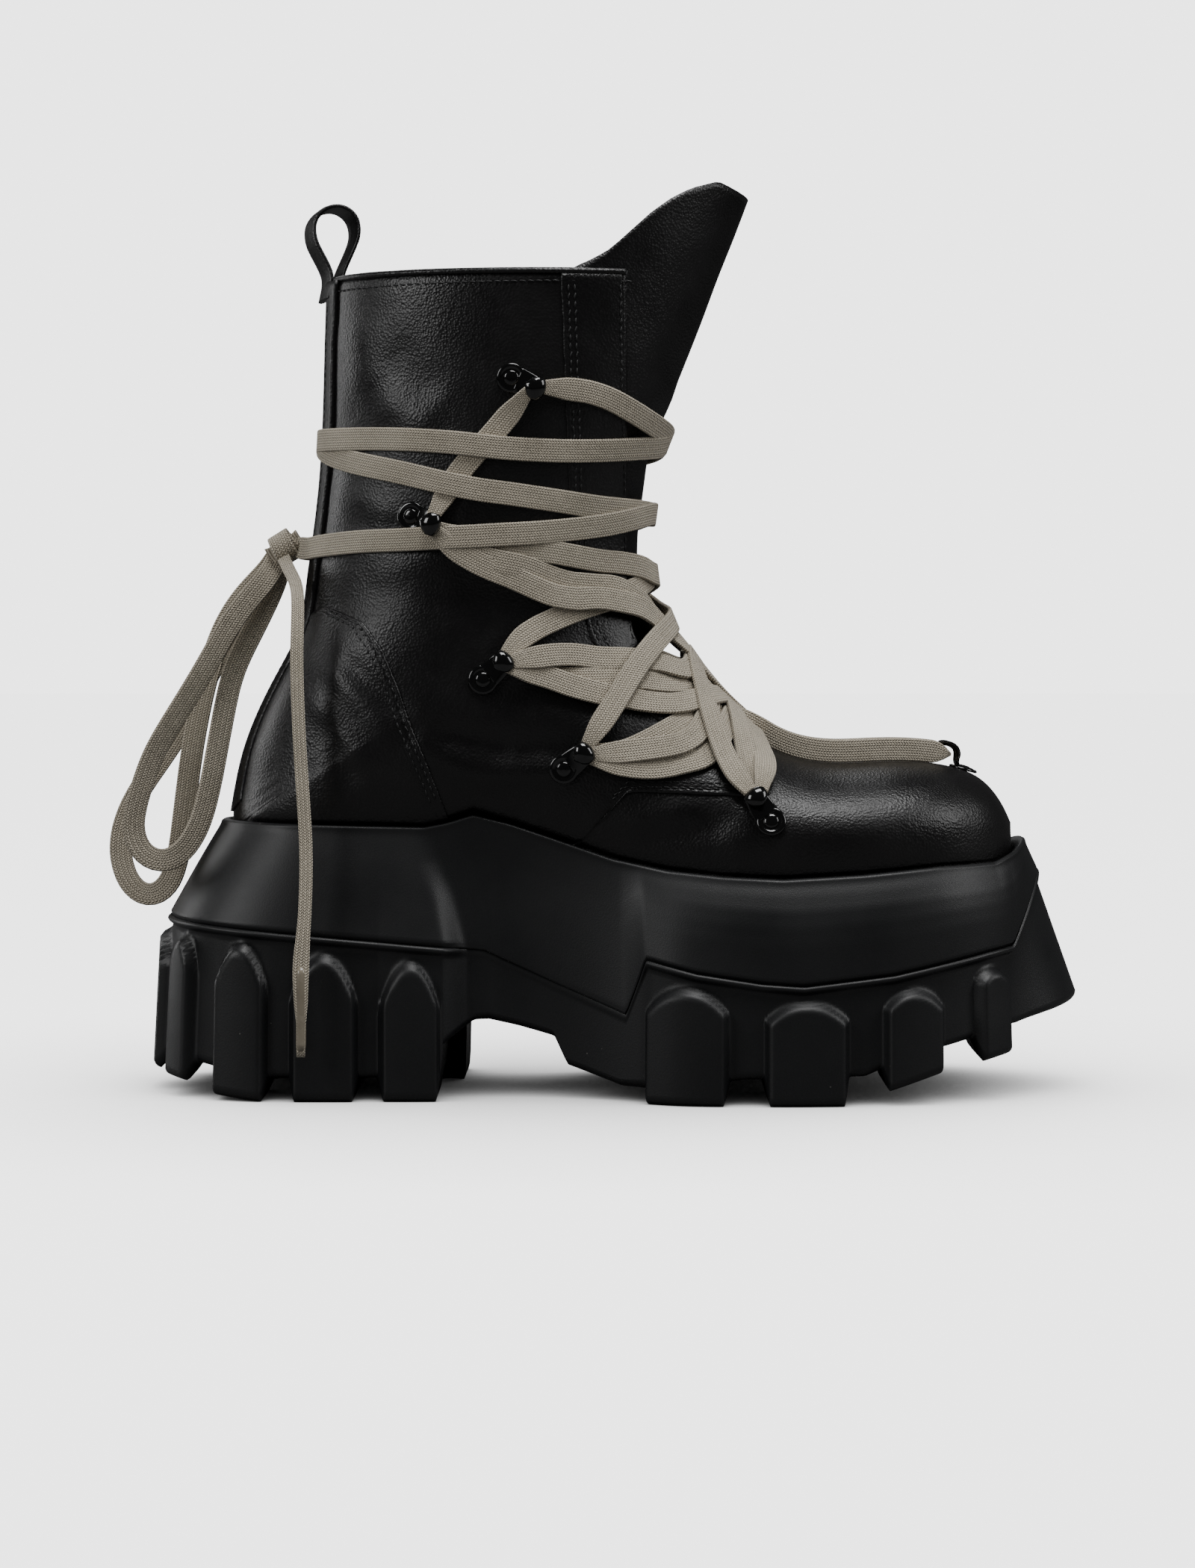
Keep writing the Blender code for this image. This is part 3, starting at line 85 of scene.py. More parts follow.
# Side lines, x and z: the sole's top edge, the ledge, the tread under the lugs and between them
TOP_LINE = (
    (-142, 97), (-68, 95.5), (-60, 97), (-51, 99.8), (-38, 96.6), (-24, 92),
    (-2, 84.6), (17, 80.7), (36, 78.9), (57.5, 78), (85, 79.5), (112, 82),
    (133, 82.8), (141, 86), (147, 90),
)
LEDGE_LINE = (
    (-162, 62.5), (-47, 52.4), (-22, 41), (2.6, 30.7), (9.6, 50), (27, 45.7),
    (50, 42.3), (64.5, 41.3), (96, 45), (130, 52), (140, 53.6), (149, 72),
    (152.3, 79),
)
LUG_LINE = (
    (-162, 8), (-150, 6), (-143, 2.5), (-125, 0), (82, 0), (92, 4.5),
    (113.6, 11.5), (125, 13.8), (137, 16.5),
)
BASE_LINE = (
    (-162, 15), (-146.5, 12), (-125, 8), (-62, 8), (-61.5, 19), (-50, 27.5),
    (-45, 27.8), (-35, 25.4), (-23, 21.9), (-18.5, 11.9), (0, 5.3), (9, 5),
    (44, 9), (86, 10), (103, 17), (119, 20.5), (131, 23.5), (141.5, 26),
    (152.3, 31.8),
)
# Lugs: lateral front and back x, medial front and back x, apex z, shoulder z
LUGS = (
    (137, 125, 137, 125, 46.8, 41.5),
    (113.6, 92, 113.6, 92, 40.5, 33.5),
    (80.2, 50.7, 80.2, 50.7, 36.6, 29.5),
    (38.5, 9.4, 38.5, 9.4, 41, 32),
    (-62, -84, -54, -82, 49, 31),
    (-91, -115, -90, -114.5, 51.6, 34),
    (-122.5, -141.5, -122.5, -141.5, 55.5, 38),
    (-148.5, -157, -148.5, -157, 57.4, 42),
    (-160.2, -162, -160.2, -162, 58, 45),
)
# Upper sections: front x, z, back x, z, widest half width and where, front, end and bend powers
UPPER = (
    (142.9, 95, None, None, 0, 0.55, 2.2, 2, 1),
    (138.9, 102.6, None, None, 17.3, 0.56, 2.2, 2, 1),
    (132.3, 110.4, None, None, 29.6, 0.58, 2.2, 2, 1),
    (122.5, 115, None, None, 38.2, 0.6, 2.2, 2, 1),
    (109, 117.2, None, None, 45.2, 0.62, 2.2, 2, 1),
    (94, 117.6, None, None, 49.4, 0.64, 2.15, 2, 1),
    (78, 117.2, None, None, 51, 0.65, 2.1, 2, 1),
    (63, 119.4, None, None, 51, 0.66, 2.05, 2, 1),
    (50.5, 125.2, None, None, 49, 0.66, 2, 2, 1),
    (40.5, 133, None, None, 46, 0.66, 2, 2, 1),
    (32, 141.5, None, None, 43.6, 0.65, 2, 2, 1),
    (25.3, 149.8, None, None, 42.3, 0.63, 2, 2, 1),
    (20.2, 157.3, None, None, 41.8, 0.6, 2, 2, 1),
    (16.5, 164.5, None, None, 41.8, 0.57, 2, 2, 1),
    (14, 171, None, None, 42, 0.54, 2, 2, 0.95),
    (12.6, 177, None, None, 42.2, 0.52, 2, 2, 0.85),
    (11.8, 182, None, None, 42.3, 0.51, 2, 2, 0.75),
    (11.2, 187, None, None, 42.3, 0.5, 2, 2, 0.65),
    (11, 191.5, None, None, 42.2, 0.5, 2, 2, 0.55),
    (11, 196, None, None, 42, 0.5, 2, 2, 0.5),
    (11.3, 200.5, -135.6, 108.4, 41.8, 0.5, 2, 2, 0.5),
    (12, 206, -131.8, 123.5, 41.6, 0.5, 2, 2, 0.5),
    (12.8, 212, -124.8, 140, 41.4, 0.5, 2, 2, 0.5),
    (13.6, 218, -117.3, 154, 41.4, 0.5, 2, 2, 0.5),
    (14.6, 225, -111.8, 167, 41.6, 0.5, 2.05, 2, 0.5),
    (16.8, 233, -109.4, 183, 42.2, 0.5, 2.1, 2, 0.5),
    (21.5, 243.5, -106.2, 206, 43, 0.5, 2.1, 2, 0.5),
    (28.1, 259.5, -103.9, 232, 44, 0.5, 2.1, 2, 0.5),
    (34.2, 275, -102.8, 262, 44.9, 0.51, 2.1, 2, 0.5),
    (39.8, 290, -102, 290, 45.5, 0.51, 2.1, 2, 0.5),
    (45.4, 304, -102, 304, 45.8, 0.51, 2.1, 2, 0.5),
    (50.9, 318.5, -102, 318.5, 45.8, 0.51, 2.1, 2, 0.5),
    (54.5, 328, -102, 328, 45.8, 0.51, 2.1, 2, 0.5),
)
# Quarter's front edge, z and x
FACING_LINE = (
    (290, 3.5), (182, 3.5), (165, 5.5), (150, 12), (138, 27), (130, 41.5),
    (125, 49.5), (110, 60),
)
# Tongue's top edge, x and z, and its half width by section
TONGUE_TOP = (
    (-30, 286), (-18, 289.5), (-14, 291.8), (-8.3, 294.4), (-2.3, 298), (4.5, 304.3),
    (12.1, 311.2), (19, 316.2), (25.9, 319.8), (35.4, 322.8), (48.5, 318.2), (60, 315),
)
TONGUE_EDGE = (
    (7.6, 0.13), (8, 0.16), (9, 0.24), (10, 0.29), (11, 0.33), (14, 0.33),
    (19, 0.27), (24, 0.31), (27, 0.38), (29, 0.435), (32, 0.45),
)
# Counter's front seam, x and z
COUNTER_SEAM = (
    (-107.8, 173.5), (-99.6, 172), (-88.7, 167.4), (-82, 158), (-76.6, 144.8), (-72.6, 132.8),
    (-66, 116.7), (-59, 98),
)
# Pull loop seen from the side, x and z
LOOP_LINE = (
    (-103.6, 291.2), (-106.4, 297), (-110.3, 304), (-110.6, 311), (-106.4, 315.6), (-100, 316.4),
    (-95, 312.6), (-94, 306), (-97, 299), (-100.6, 291.2),
)
# Hooks: section and share of the foot, then of the point it faces
HOOKS = (
    (27.3, 0.5, 26.9, 0.435), (25.4, 0.64, 25, 0.585),
    (16.9, 0.45, 17.3, 0.39), (12, 0.54, 11.9, 0.47),
    (7.5, 0.43, 7.9, 0.37),
)
# Hanging lace, x, y and z
BOW_OUTER = (
    (-123.2, 3, 188.5), (-134, 2, 179.3), (-142, 1, 167.2), (-146.7, 0, 153.7), (-150.5, 0, 138.8),
    (-154, 0, 120), (-156.8, 1, 99.1), (-159.1, 2, 81.5), (-161.9, 3, 71.2), (-168.8, 4, 66),
    (-176.1, 6, 68.5), (-181.2, 8, 79), (-181.9, 9, 88.7), (-177.1, 10, 102.5), (-168.4, 10, 114.7),
    (-159.2, 10, 127.8), (-150.5, 10, 145.4), (-139.5, 9, 165.3), (-125.2, 7, 186.1),
)
BOW_INNER = (
    (-120.2, -1, 187.9), (-129.4, -3, 168), (-138.7, -4, 150.2), (-143.2, -5, 127.1),
    (-146.3, -6, 109.4), (-150.1, -8, 93.2), (-156.9, -10, 82.6), (-163.9, -12, 79.5),
    (-170.7, -13, 83.3), (-174.8, -14, 91.4), (-172.9, -14, 100.7), (-166.7, -13, 120.4),
    (-149.2, -12, 148.4), (-136.6, -9, 171.2), (-123.6, -5, 185.7),
)
LACE_END = (
    (-117.9, -9, 186.2), (-114.1, -22, 182.2), (-112.3, -34, 176.3), (-112, -41, 168.4),
    (-112.3, -44, 155.4), (-111.2, -47, 128.9), (-109.8, -49, 108.7), (-108.6, -51, 93.2),
    (-108.2, -53, 83), (-108.6, -57, 63.4), (-110.2, -59, 47.3), (-109.6, -60, 32.3),
    (-109.9, -60, 17.1),
)


def spline(values, at, flat_start=False, flat_end=False):
    """Natural cubic through one value per row, read at fractional rows; an end is level if flat."""
    values = np.asarray(values, dtype=float)
    count = len(values)
    system = np.eye(count)
    right = np.zeros(count)
    middle = np.arange(1, count - 1)
    system[middle, middle - 1] = 1.0
    system[middle, middle] = 4.0
    system[middle, middle + 1] = 1.0
    right[1:-1] = 6.0 * (values[:-2] - 2.0 * values[1:-1] + values[2:])
    if flat_start:
        system[0, :2] = (2.0, 1.0)
        right[0] = 6.0 * (values[1] - values[0])
    if flat_end:
        system[-1, -2:] = (1.0, 2.0)
        right[-1] = -6.0 * (values[-1] - values[-2])
    bend = np.linalg.solve(system, right)
    at = np.clip(np.asarray(at, dtype=float), 0.0, count - 1.0)
    low = np.minimum(at.astype(int), count - 2)
    b = at - low
    a = 1.0 - b
    lift = ((a**3 - a) * bend[low] + (b**3 - b) * bend[low + 1]) / 6.0
    return a * values[low] + b * values[low + 1] + lift


def smooth(t):
    """Smooth step: 3t^2 - 2t^3 between 0 and 1."""
    t = np.clip(t, 0.0, 1.0)
    return t * t * (3.0 - 2.0 * t)


def line_at(line, x, across=0):
    """Height of a side line at x, straight between its points; across=1 reads x at a height."""
    line = np.array(line)
    order = np.argsort(line[:, across], kind="stable")
    return np.interp(x, line[order, across], line[order, 1 - across])


STATION = dict(zip(
    ("top_x", "top_half", "ledge_x", "ledge_half", "centre", "bulge", "lean"),
    np.array(STATIONS).T,
))
SECTION = dict(zip(
    ("front_x", "front_z", "back_x", "back_z", "wide_half", "wide_at", "front_round", "end_round", "end_bend"),
    np.array(UPPER, dtype=float).T,
))
LAST_ROW = len(UPPER) - 1.0
HEEL_TIP = len(STATIONS) - 1.0
HEEL_MIDDLE_X, TOE_MIDDLE_X = -102.0, 97.0  # centres that the foot's plan is held round
LOW_BAND = 12.0  # leather below this height over the sole's edge is held inside its rim
HEEL_BLEND = 1.3  # rows averaged on each side of the heel's tip


def unit(vectors):
    """Vectors at length one."""
    return vectors / np.maximum(np.linalg.norm(vectors, axis=-1, keepdims=True), 1e-12)


def matched(row, share):
    """Row and share as float arrays of one shape."""
    return np.broadcast_arrays(np.asarray(row, dtype=float), np.asarray(share, dtype=float))


def run_length(points):
    """Length run along a line of points, up to each of them."""
    return np.concatenate([[0.0], np.cumsum(np.linalg.norm(np.diff(points, axis=0), axis=1))])


def read_line(at, length, points):
    """Points of a line at given run lengths, straight between its own points."""
    return np.stack([np.interp(at, length, points[:, k]) for k in range(points.shape[1])], axis=1)


def turn_angles(count):
    """Even angles round a full turn."""
    return np.linspace(0.0, 2.0 * math.pi, count + 1)[:-1]


def boxy(value, power):
    """A cosine or sine raised to a power below one, its sign kept, so that a round section turns boxy."""
    return np.sign(value) * np.abs(value) ** power


def edge_point(edge, station, side, outward=0.0):
    """Plan point of the sole's top edge or ledge: centre plus the half width, moved outward along the plan
    normal."""
    station = np.asarray(station, dtype=float)

    def at(u):
        half = spline(STATION[edge + "_half"], u)
        centre = spline(STATION["centre"], u, True, True)
        return np.stack([spline(STATION[edge + "_x"], u, True, True), centre + side * half], axis=-1)

    run = at(np.minimum(station + 0.02, HEEL_TIP)) - at(np.maximum(station - 0.02, 0.0))
    run[..., 0] = np.where((station <= 0.0) | (station >= HEEL_TIP), 0.0, run[..., 0])
    run = unit(run)
    normal = side * np.stack([run[..., 1], -run[..., 0]], axis=-1)
    return at(station) + normal * np.asarray(outward, dtype=float)[..., None]


def floor_line(x):
    """Height of the recess that the upper stands in."""
    ends = edge_point("top", np.arange(HEEL_TIP + 1.0), -1.0, FEATHER_IN)[:, 0]
    return np.interp(-np.asarray(x, dtype=float), -ends, line_at(TOP_LINE, ends) - CUP)


def end_line(row, side):
    """Where a section of the upper ends: on the feather inside the sole's rim, then up the back seam."""
    feather = edge_point("top", np.minimum(row, HEEL_TIP), side, FEATHER_IN)
    feather_z = floor_line(feather[..., 0]) + 1.0
    tip = edge_point("top", np.array([HEEL_TIP]), side, FEATHER_IN)[0]
    back_x = SECTION["back_x"][int(HEEL_TIP):].copy()
    back_z = SECTION["back_z"][int(HEEL_TIP):].copy()
    back_x[0], back_z[0] = tip[0], floor_line(tip[0]) + 1.0
    up = np.maximum(row - HEEL_TIP, 0.0)
    on_back = row > HEEL_TIP
    x = np.where(on_back, spline(back_x, up), feather[..., 0])
    y = np.where(on_back, 0.0, feather[..., 1])
    z = np.where(on_back, spline(back_z, up), feather_z)
    return x, y, z


def section_form(row, share):
    """Smooth form of the upper: each section's front and end quarters are superellipses meeting at its widest."""
    row, share = matched(row, share)
    side = np.where(share < 0.0, 1.0, -1.0)
    wide = spline(SECTION["wide_half"], row)
    wide_at = spline(SECTION["wide_at"], row)
    front_power = 2.0 / spline(SECTION["front_round"], row)
    end_power = spline(SECTION["end_round"], row)
    end_bend = spline(SECTION["end_bend"], row)
    centre = spline(STATION["centre"], np.minimum(row, HEEL_TIP), True, True)
    lateral = end_line(row, -1.0)
    medial = end_line(row, 1.0)
    end_x, end_y, end_z = (np.where(side < 0.0, a, b) for a, b in zip(lateral, medial))
    end_half = side * (end_y - centre)
    angle = np.abs(share) * math.pi
    front_angle = np.minimum(angle, 0.5 * math.pi)
    reach = np.sin(np.clip(angle - 0.5 * math.pi, 0.0, 0.5 * math.pi))
    in_front = angle <= 0.5 * math.pi
    near = wide_at * (1.0 - np.cos(front_angle).clip(0.0) ** front_power)
    along = np.where(in_front, near, wide_at + (1.0 - wide_at) * reach)
    far = end_half + (wide - end_half) * (1.0 - reach**end_power).clip(0.0) ** end_bend
    half = np.where(in_front, wide * np.sin(front_angle) ** front_power, far)
    front_x = spline(SECTION["front_x"], row)
    front_z = spline(SECTION["front_z"], row)
    x = front_x + (end_x - front_x) * along
    z = front_z + (end_z - front_z) * along
    return np.stack([x, centre + side * half, z], axis=-1)


def upper_raw(row, share):
    """The sections' form; round the heel's tip, where the ends turn up the back, it is the mean of five rows with
    weights 1, 2, 3, 2, 1, whose distance fades as a bell along the rows and to nothing at the back seam."""
    row, share = matched(row, share)
    point = section_form(row, share)
    bell = np.exp(-(((row - HEEL_TIP) / HEEL_BLEND) ** 2))
    reach = HEEL_BLEND * bell * smooth((0.985 - np.abs(share)) / 0.1)
    near = reach > 0.02
    if near.any():
        row, share, reach = row[near], share[near], reach[near]
        total = 3.0 * point[near]
        for move, weight in ((-1.0, 1.0), (-0.5, 2.0), (0.5, 2.0), (1.0, 1.0)):
            total += weight * section_form(row + move * reach, share)
        point[near] = total / 9.0
    return point


FEATHER = np.concatenate([
    edge_point("top", np.linspace(0.0, HEEL_TIP, 300), -1.0, FEATHER_IN),
    edge_point("top", np.linspace(HEEL_TIP, 0.0, 300), 1.0, FEATHER_IN),
])


def upper_point(row, share):
    """The form held inside the sole's rim low down: a low point may stand outside the feather by 1.5 times its
    height over the rim."""
    point = upper_raw(row, share)
    flat = point.reshape(-1, 3).copy()
    above = flat[:, 2] - line_at(TOP_LINE, flat[:, 0])
    low = np.nonzero(above < LOW_BAND)[0]
    if len(low):
        plan = flat[low, :2]
        near = np.concatenate([
            FEATHER[np.argmin(((FEATHER[None] - part[:, None]) ** 2).sum(axis=2), axis=1)]
            for part in np.array_split(plan, len(plan) // 4000 + 1)
        ])
        middle = np.stack([np.clip(plan[:, 0], HEEL_MIDDLE_X, TOE_MIDDLE_X), np.zeros(len(plan))], axis=1)
        outside = np.linalg.norm(plan - middle, axis=1) - np.linalg.norm(near - middle, axis=1)
        allowed = 1.5 * np.maximum(0.0, above[low] - 0.5)
        held = near + unit(plan - near) * allowed[:, None]
        flat[low, :2] = np.where((outside > allowed)[:, None], held, plan)
    return flat.reshape(point.shape)


def wrap(share):
    """Share carried past the back seam comes round from the other side."""
    return (np.asarray(share, dtype=float) + 1.0) % 2.0 - 1.0


def upper_normal(row, share):
    """Outward normal of the smooth form, from its two run directions."""
    row, share = matched(row, share)
    along = upper_raw(np.minimum(row + 0.06, LAST_ROW), share) - upper_raw(np.maximum(row - 0.06, 0.0), share)
    around = upper_raw(row, wrap(share + 0.004)) - upper_raw(row, wrap(share - 0.004))
    return unit(np.cross(along, around))


def crease_height(point):
    """Soft ridges (plus) and troughs (minus) of worn leather: each is a bell across a line in the side view, faded
    towards the line's ends."""
    height = np.zeros(point.shape[:-1])
    seen = point[..., [0, 2]]
    for x0, z0, x1, z1, deep, wide, side in CREASES:
        start, run = np.array([x0, z0]), np.array([x1 - x0, z1 - z0])
        along = ((seen - start) @ run) / (run @ run)
        gap = np.linalg.norm(seen - start - np.clip(along, 0.0, 1.0)[..., None] * run, axis=-1)
        fade = smooth(np.minimum(along, 1.0 - along) * 3.0 + 0.35)
        on_side = smooth(side * -point[..., 1] / 12.0 + 0.2) if side else 1.0
        height += deep * np.exp(-((gap / wide) ** 2)) * fade * on_side
    return height


def leather_point(row, share, lift=0.0):
    """Point a distance above the upper's creased outer face, along its normal."""
    row, share = matched(row, share)
    base = upper_point(row, share)
    above = base[..., 2] - line_at(TOP_LINE, base[..., 0])
    height = crease_height(base) * smooth(above / 10.0) + lift
    return base + upper_normal(row, share) * height[..., None]


def facing_share(row):
    """Share at which the quarter's front edge crosses each section; zero in front of the throat."""
    row = np.atleast_1d(np.asarray(row, dtype=float))
    fine = np.linspace(0.0, 0.6, 401)
    point = upper_raw(row[:, None], fine[None, :])
    past = point[..., 0] <= line_at(FACING_LINE, point[..., 2])
    first = np.argmax(past, axis=1)
    return np.where(past.any(axis=1) & (row > THROAT_ROW), fine[first], 0.0)


def grid_faces(rows, columns, start=0):
    """Quads of a grid of points, row by row."""
    i, j = np.meshgrid(np.arange(rows - 1), np.arange(columns - 1), indexing="ij")
    a = (start + i * columns + j).ravel()
    return np.stack([a, a + 1, a + columns + 1, a + columns], axis=1)


def make_mesh(name, points, corners, starts, uv, finish, replaces, weld):
    """Closed mesh from points in millimetres, the points at the corners of all faces and each face's first corner;
    welded, faces turned out and shaded smooth, riding on the boot."""
    mesh = bpy.data.meshes.new(name)
    points = (points + SHIFT) * 0.001
    mesh.vertices.add(len(points))
    mesh.vertices.foreach_set("co", points.ravel())
    mesh.loops.add(len(corners))
    mesh.loops.foreach_set("vertex_index", corners.astype(np.int32))
    mesh.polygons.add(len(starts))
    mesh.polygons.foreach_set("loop_start", starts.astype(np.int32))
    mesh.update(calc_edges=True)
    if uv is not None:
        mesh.uv_layers.new(name="UVMap").data.foreach_set("uv", uv.ravel())
    body = bmesh.new()
    body.from_mesh(mesh)
    if weld:
        bmesh.ops.remove_doubles(body, verts=body.verts, dist=weld * 0.001)
        bmesh.ops.dissolve_degenerate(body, edges=body.edges, dist=weld * 0.0005)
    bmesh.ops.recalc_face_normals(body, faces=body.faces)
    body.to_mesh(mesh)
    body.free()
    mesh.polygons.foreach_set("use_smooth", np.ones(len(mesh.polygons), dtype=bool))
    mesh.materials.append(finish)
    item = bpy.data.objects.new(name, mesh)
    bpy.context.scene.collection.objects.link(item)
    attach(item, "root")
    if replaces:
        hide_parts(*replaces)
    return item


def make_piece(name, points, faces, finish, slot, replaces=(), weld=0.02):
    """Closed piece from points in millimetres and quads."""
    starts = np.arange(0, faces.size, faces.shape[1])
    return make_mesh(name, points.reshape(-1, 3), faces.ravel(), starts, None, finish, replaces, weld)


def closed_sheet(outer, inner):
    """Points and quads of a sheet between two grids: both faces and the four rims."""
    rows, columns = outer.shape[:2]
    count = rows * columns
    rim = np.concatenate([
        np.arange(rows - 1) * columns,
        (rows - 1) * columns + np.arange(columns - 1),
        np.arange(rows - 1, 0, -1) * columns + columns - 1,
        np.arange(columns - 1, 0, -1),
    ])
    after = np.roll(rim, -1)
    sides = np.stack([rim, after, after + count, rim + count], axis=1)
    faces = np.concatenate([grid_faces(rows, columns), grid_faces(rows, columns, count)[:, ::-1], sides])
    return np.concatenate([outer.reshape(-1, 3), inner.reshape(-1, 3)]), faces


def tube_faces(stations, points):
    """Quads of closed loops set one after another."""
    i, j = np.meshgrid(np.arange(stations - 1), np.arange(points), indexing="ij")
    k = (j + 1) % points
    near, far = i * points, (i + 1) * points
    return np.stack([near + j, near + k, far + k, far + j], axis=-1).reshape(-1, 4)


def capped(loops):
    """Points and quads of closed loops along a path, each end drawn together to its middle."""
    ends = np.stack([np.broadcast_to(loops[k].mean(axis=0), loops[k].shape) for k in (0, -1)])
    whole = np.concatenate([ends[:1], loops, ends[1:]])
    return whole.reshape(-1, 3), tube_faces(*whole.shape[:2])


# Creases worn into the leather, in the side view: x and z of both ends, height, half width, side (1 lateral only,
# -1 medial only, 0 both)
CREASES = (
    (-72, 126, -51, 114, 1.3, 5.0, 0), (-54, 113.5, -18, 116, 1.4, 5.0, 0),
    (-64, 129, -38, 124, -1.3, 5.0, 0), (-44, 124, -10, 124, -1.1, 5.5, 0),
    (-30, 133, 4, 128, 0.7, 7.0, 0), (-101, 152, -80, 128, 0.9, 3.6, 1),
    (-95, 154, -74, 134, -0.8, 3.4, 1), (-108, 142, -88, 118, 0.8, 4.0, 1),
    (-103, 134, -92, 110, -0.7, 4.0, 1), (-96, 146, -78, 126, 0.8, 4.2, -1),
    (-106, 136, -86, 116, -0.7, 4.2, -1), (-92, 274, -88, 250, 0.8, 9.0, 1),
    (-80, 264, -64, 246, -0.8, 8.0, 1), (-84, 246, -64, 235, 0.8, 6.0, 1),
    (-97, 242, -78, 231, -0.7, 6.0, 1), (-101, 215, -78, 203, 0.8, 5.5, 0),
    (-96, 206, -66, 197, -0.6, 5.0, 0), (-60, 226, -30, 222, 0.5, 8.0, 0),
    (-44, 190, -10, 196, 0.6, 7.0, 0), (-70, 178, -30, 172, -0.6, 9.0, 0),
    (-86, 184, -58, 190, 0.6, 6.0, 1), (-40, 150, -12, 158, 0.6, 7.0, 0),
    (-50, 142, -16, 148, -0.7, 6.0, 0), (0, 97, 28, 103, 0.7, 5.0, 0), (8, 91, 40, 98, -0.7, 5.0, 0),
    (36, 88, 56, 104, 0.5, 6.0, 1), (-84, 262, -70, 270, 0.6, 8.0, -1),
    (-76, 240, -52, 250, -0.7, 8.0, -1), (10, 230, 22, 252, 0.6, 8.0, 0),
)
# Vamp's seam, and the stitched line beside the quarter's front edge, x and z
VAMP_SEAM = (
    (-13.5, 60.0), (-12.5, 86.0), (-10.5, 93.0), (-5.0, 102.0), (0.5, 107.0), (6.0, 108.2), (37.0, 107.0),
    (70.0, 106.0),
)
STRIP_LINE = (
    (-19.8, 290.0), (-17.2, 212.0), (-15.4, 183.0), (-10.0, 162.0), (0.0, 146.0), (13.4, 133.0),
    (30.0, 121.0), (44.0, 112.0),
)


def first_share(row, test, default=1.0, low=0.0):
    """For each section, the first share at which the test of its points becomes true."""
    fine = np.linspace(low, 1.0, 501)
    met = test(upper_raw(row[:, None], fine[None, :]))
    return np.where(met.any(axis=1), fine[np.argmax(met, axis=1)], default)


def vamp_share(row):
    """Share where a section crosses the vamp seam, or 1 behind it."""
    return first_share(row, lambda p: (p[..., 0] > -13.0) & (p[..., 2] < line_at(VAMP_SEAM, p[..., 0])))


def strip_share(row):
    """Share of the stitched line that runs beside the facing."""
    return first_share(row, lambda p: p[..., 0] <= line_at(STRIP_LINE, p[..., 2], 1), 0.5)


def counter_share(row):
    """Share of the counter's front seam."""
    return first_share(row, lambda p: p[..., 0] <= line_at(COUNTER_SEAM, p[..., 2], 1), 1.0, 0.3)


def edge_profile(gap, round_at=0.7, stitch=(2.2,)):
    """Cut edge of a leather panel over the distance from it: a quarter round, then a shallow groove per stitch
    row."""
    rise = np.sqrt(np.clip(1.0 - (1.0 - np.clip(gap / round_at, 0.0, 1.0)) ** 2, 0.0, 1.0))
    for at in stitch:
        rise = rise - 0.22 * np.exp(-(((gap - at) / 0.45) ** 2))
    return rise


# Distances of a panel's first grid lines from its edge
EDGE_STEPS = np.array([0.0, 0.12, 0.3, 0.7, 1.2, 1.7, 2.2, 2.7, 3.4])


def panel_grid(side, row, start, end, lift, edges, columns, stitch=(2.2,)):
    """Outer and inner grids of a leather panel between two shares of each section. Its outer face rises from one lift
    to the other by the edge profile of each named edge: start, end, top or low."""
    fine = np.linspace(0.0, 1.0, 81)
    share = start[:, None] + (end - start)[:, None] * fine
    path = upper_point(row[:, None], side * share)
    steps = np.cumsum(np.linalg.norm(np.diff(path, axis=1), axis=2), axis=1)
    length = np.concatenate([np.zeros((len(row), 1)), steps], axis=1)
    total = length[:, -1:]
    inset = np.minimum(EDGE_STEPS[-1], 0.2 * total)
    scale = inset / EDGE_STEPS[-1]
    middle = inset + (total - 2.0 * inset) * np.linspace(0.0, 1.0, columns)[None, :]
    gaps = np.concatenate([EDGE_STEPS[:-1] * scale, middle, total - EDGE_STEPS[-2::-1] * scale], axis=1)
    at = np.stack([np.interp(g, n, s) for g, n, s in zip(gaps, length, share)])
    run = run_length(upper_point(row, side * 0.5 * (start + end)))[:, None]
    rise = np.ones_like(gaps)
    for edge, gap in (("start", gaps), ("end", total - gaps), ("low", run), ("top", run[-1] - run)):
        if edge in edges:
            rise = rise * edge_profile(gap, stitch=stitch)
    base = upper_point(row[:, None], side * at)
    above = base[..., 2] - line_at(TOP_LINE, base[..., 0])
    cover = 0.3 + 0.7 * smooth((above + 1.0) / 6.0)
    outer = leather_point(row[:, None], side * at, lift[0] + (lift[1] - lift[0]) * rise * cover)
    inner = leather_point(row[:, None], side * at, lift[0] - 0.35)
    return outer, inner


def seam_path(row, share, side, lift):
    """Points 1 mm apart along a line of (row, share) on the leather, with the leather's normals."""
    point = leather_point(row, side * share, lift)
    normal = upper_normal(row, side * share)
    length = run_length(point)
    at = np.arange(0.0, length[-1], 1.0)
    return read_line(at, length, point), unit(read_line(at, length, normal))


def node(tree, kind, settings=(), links=()):
    """Adds a shader node, sets its properties and sockets, and links its inputs."""
    item = tree.nodes.new(kind)
    for key, value in dict(settings).items():
        if isinstance(key, str) and hasattr(item, key):
            setattr(item, key, value)
        else:
            item.inputs[key].default_value = value
    for socket, source in dict(links).items():
        tree.links.new(source, item.inputs[socket])
    return item


def linear(code):
    """sRGB hex colour as linear RGBA."""
    value = np.array([int(code[i:i + 2], 16) for i in (1, 3, 5)]) / 255.0
    value = np.where(value <= 0.04045, value / 12.92, ((value + 0.055) / 1.055) ** 2.4)
    return (*value, 1.0)


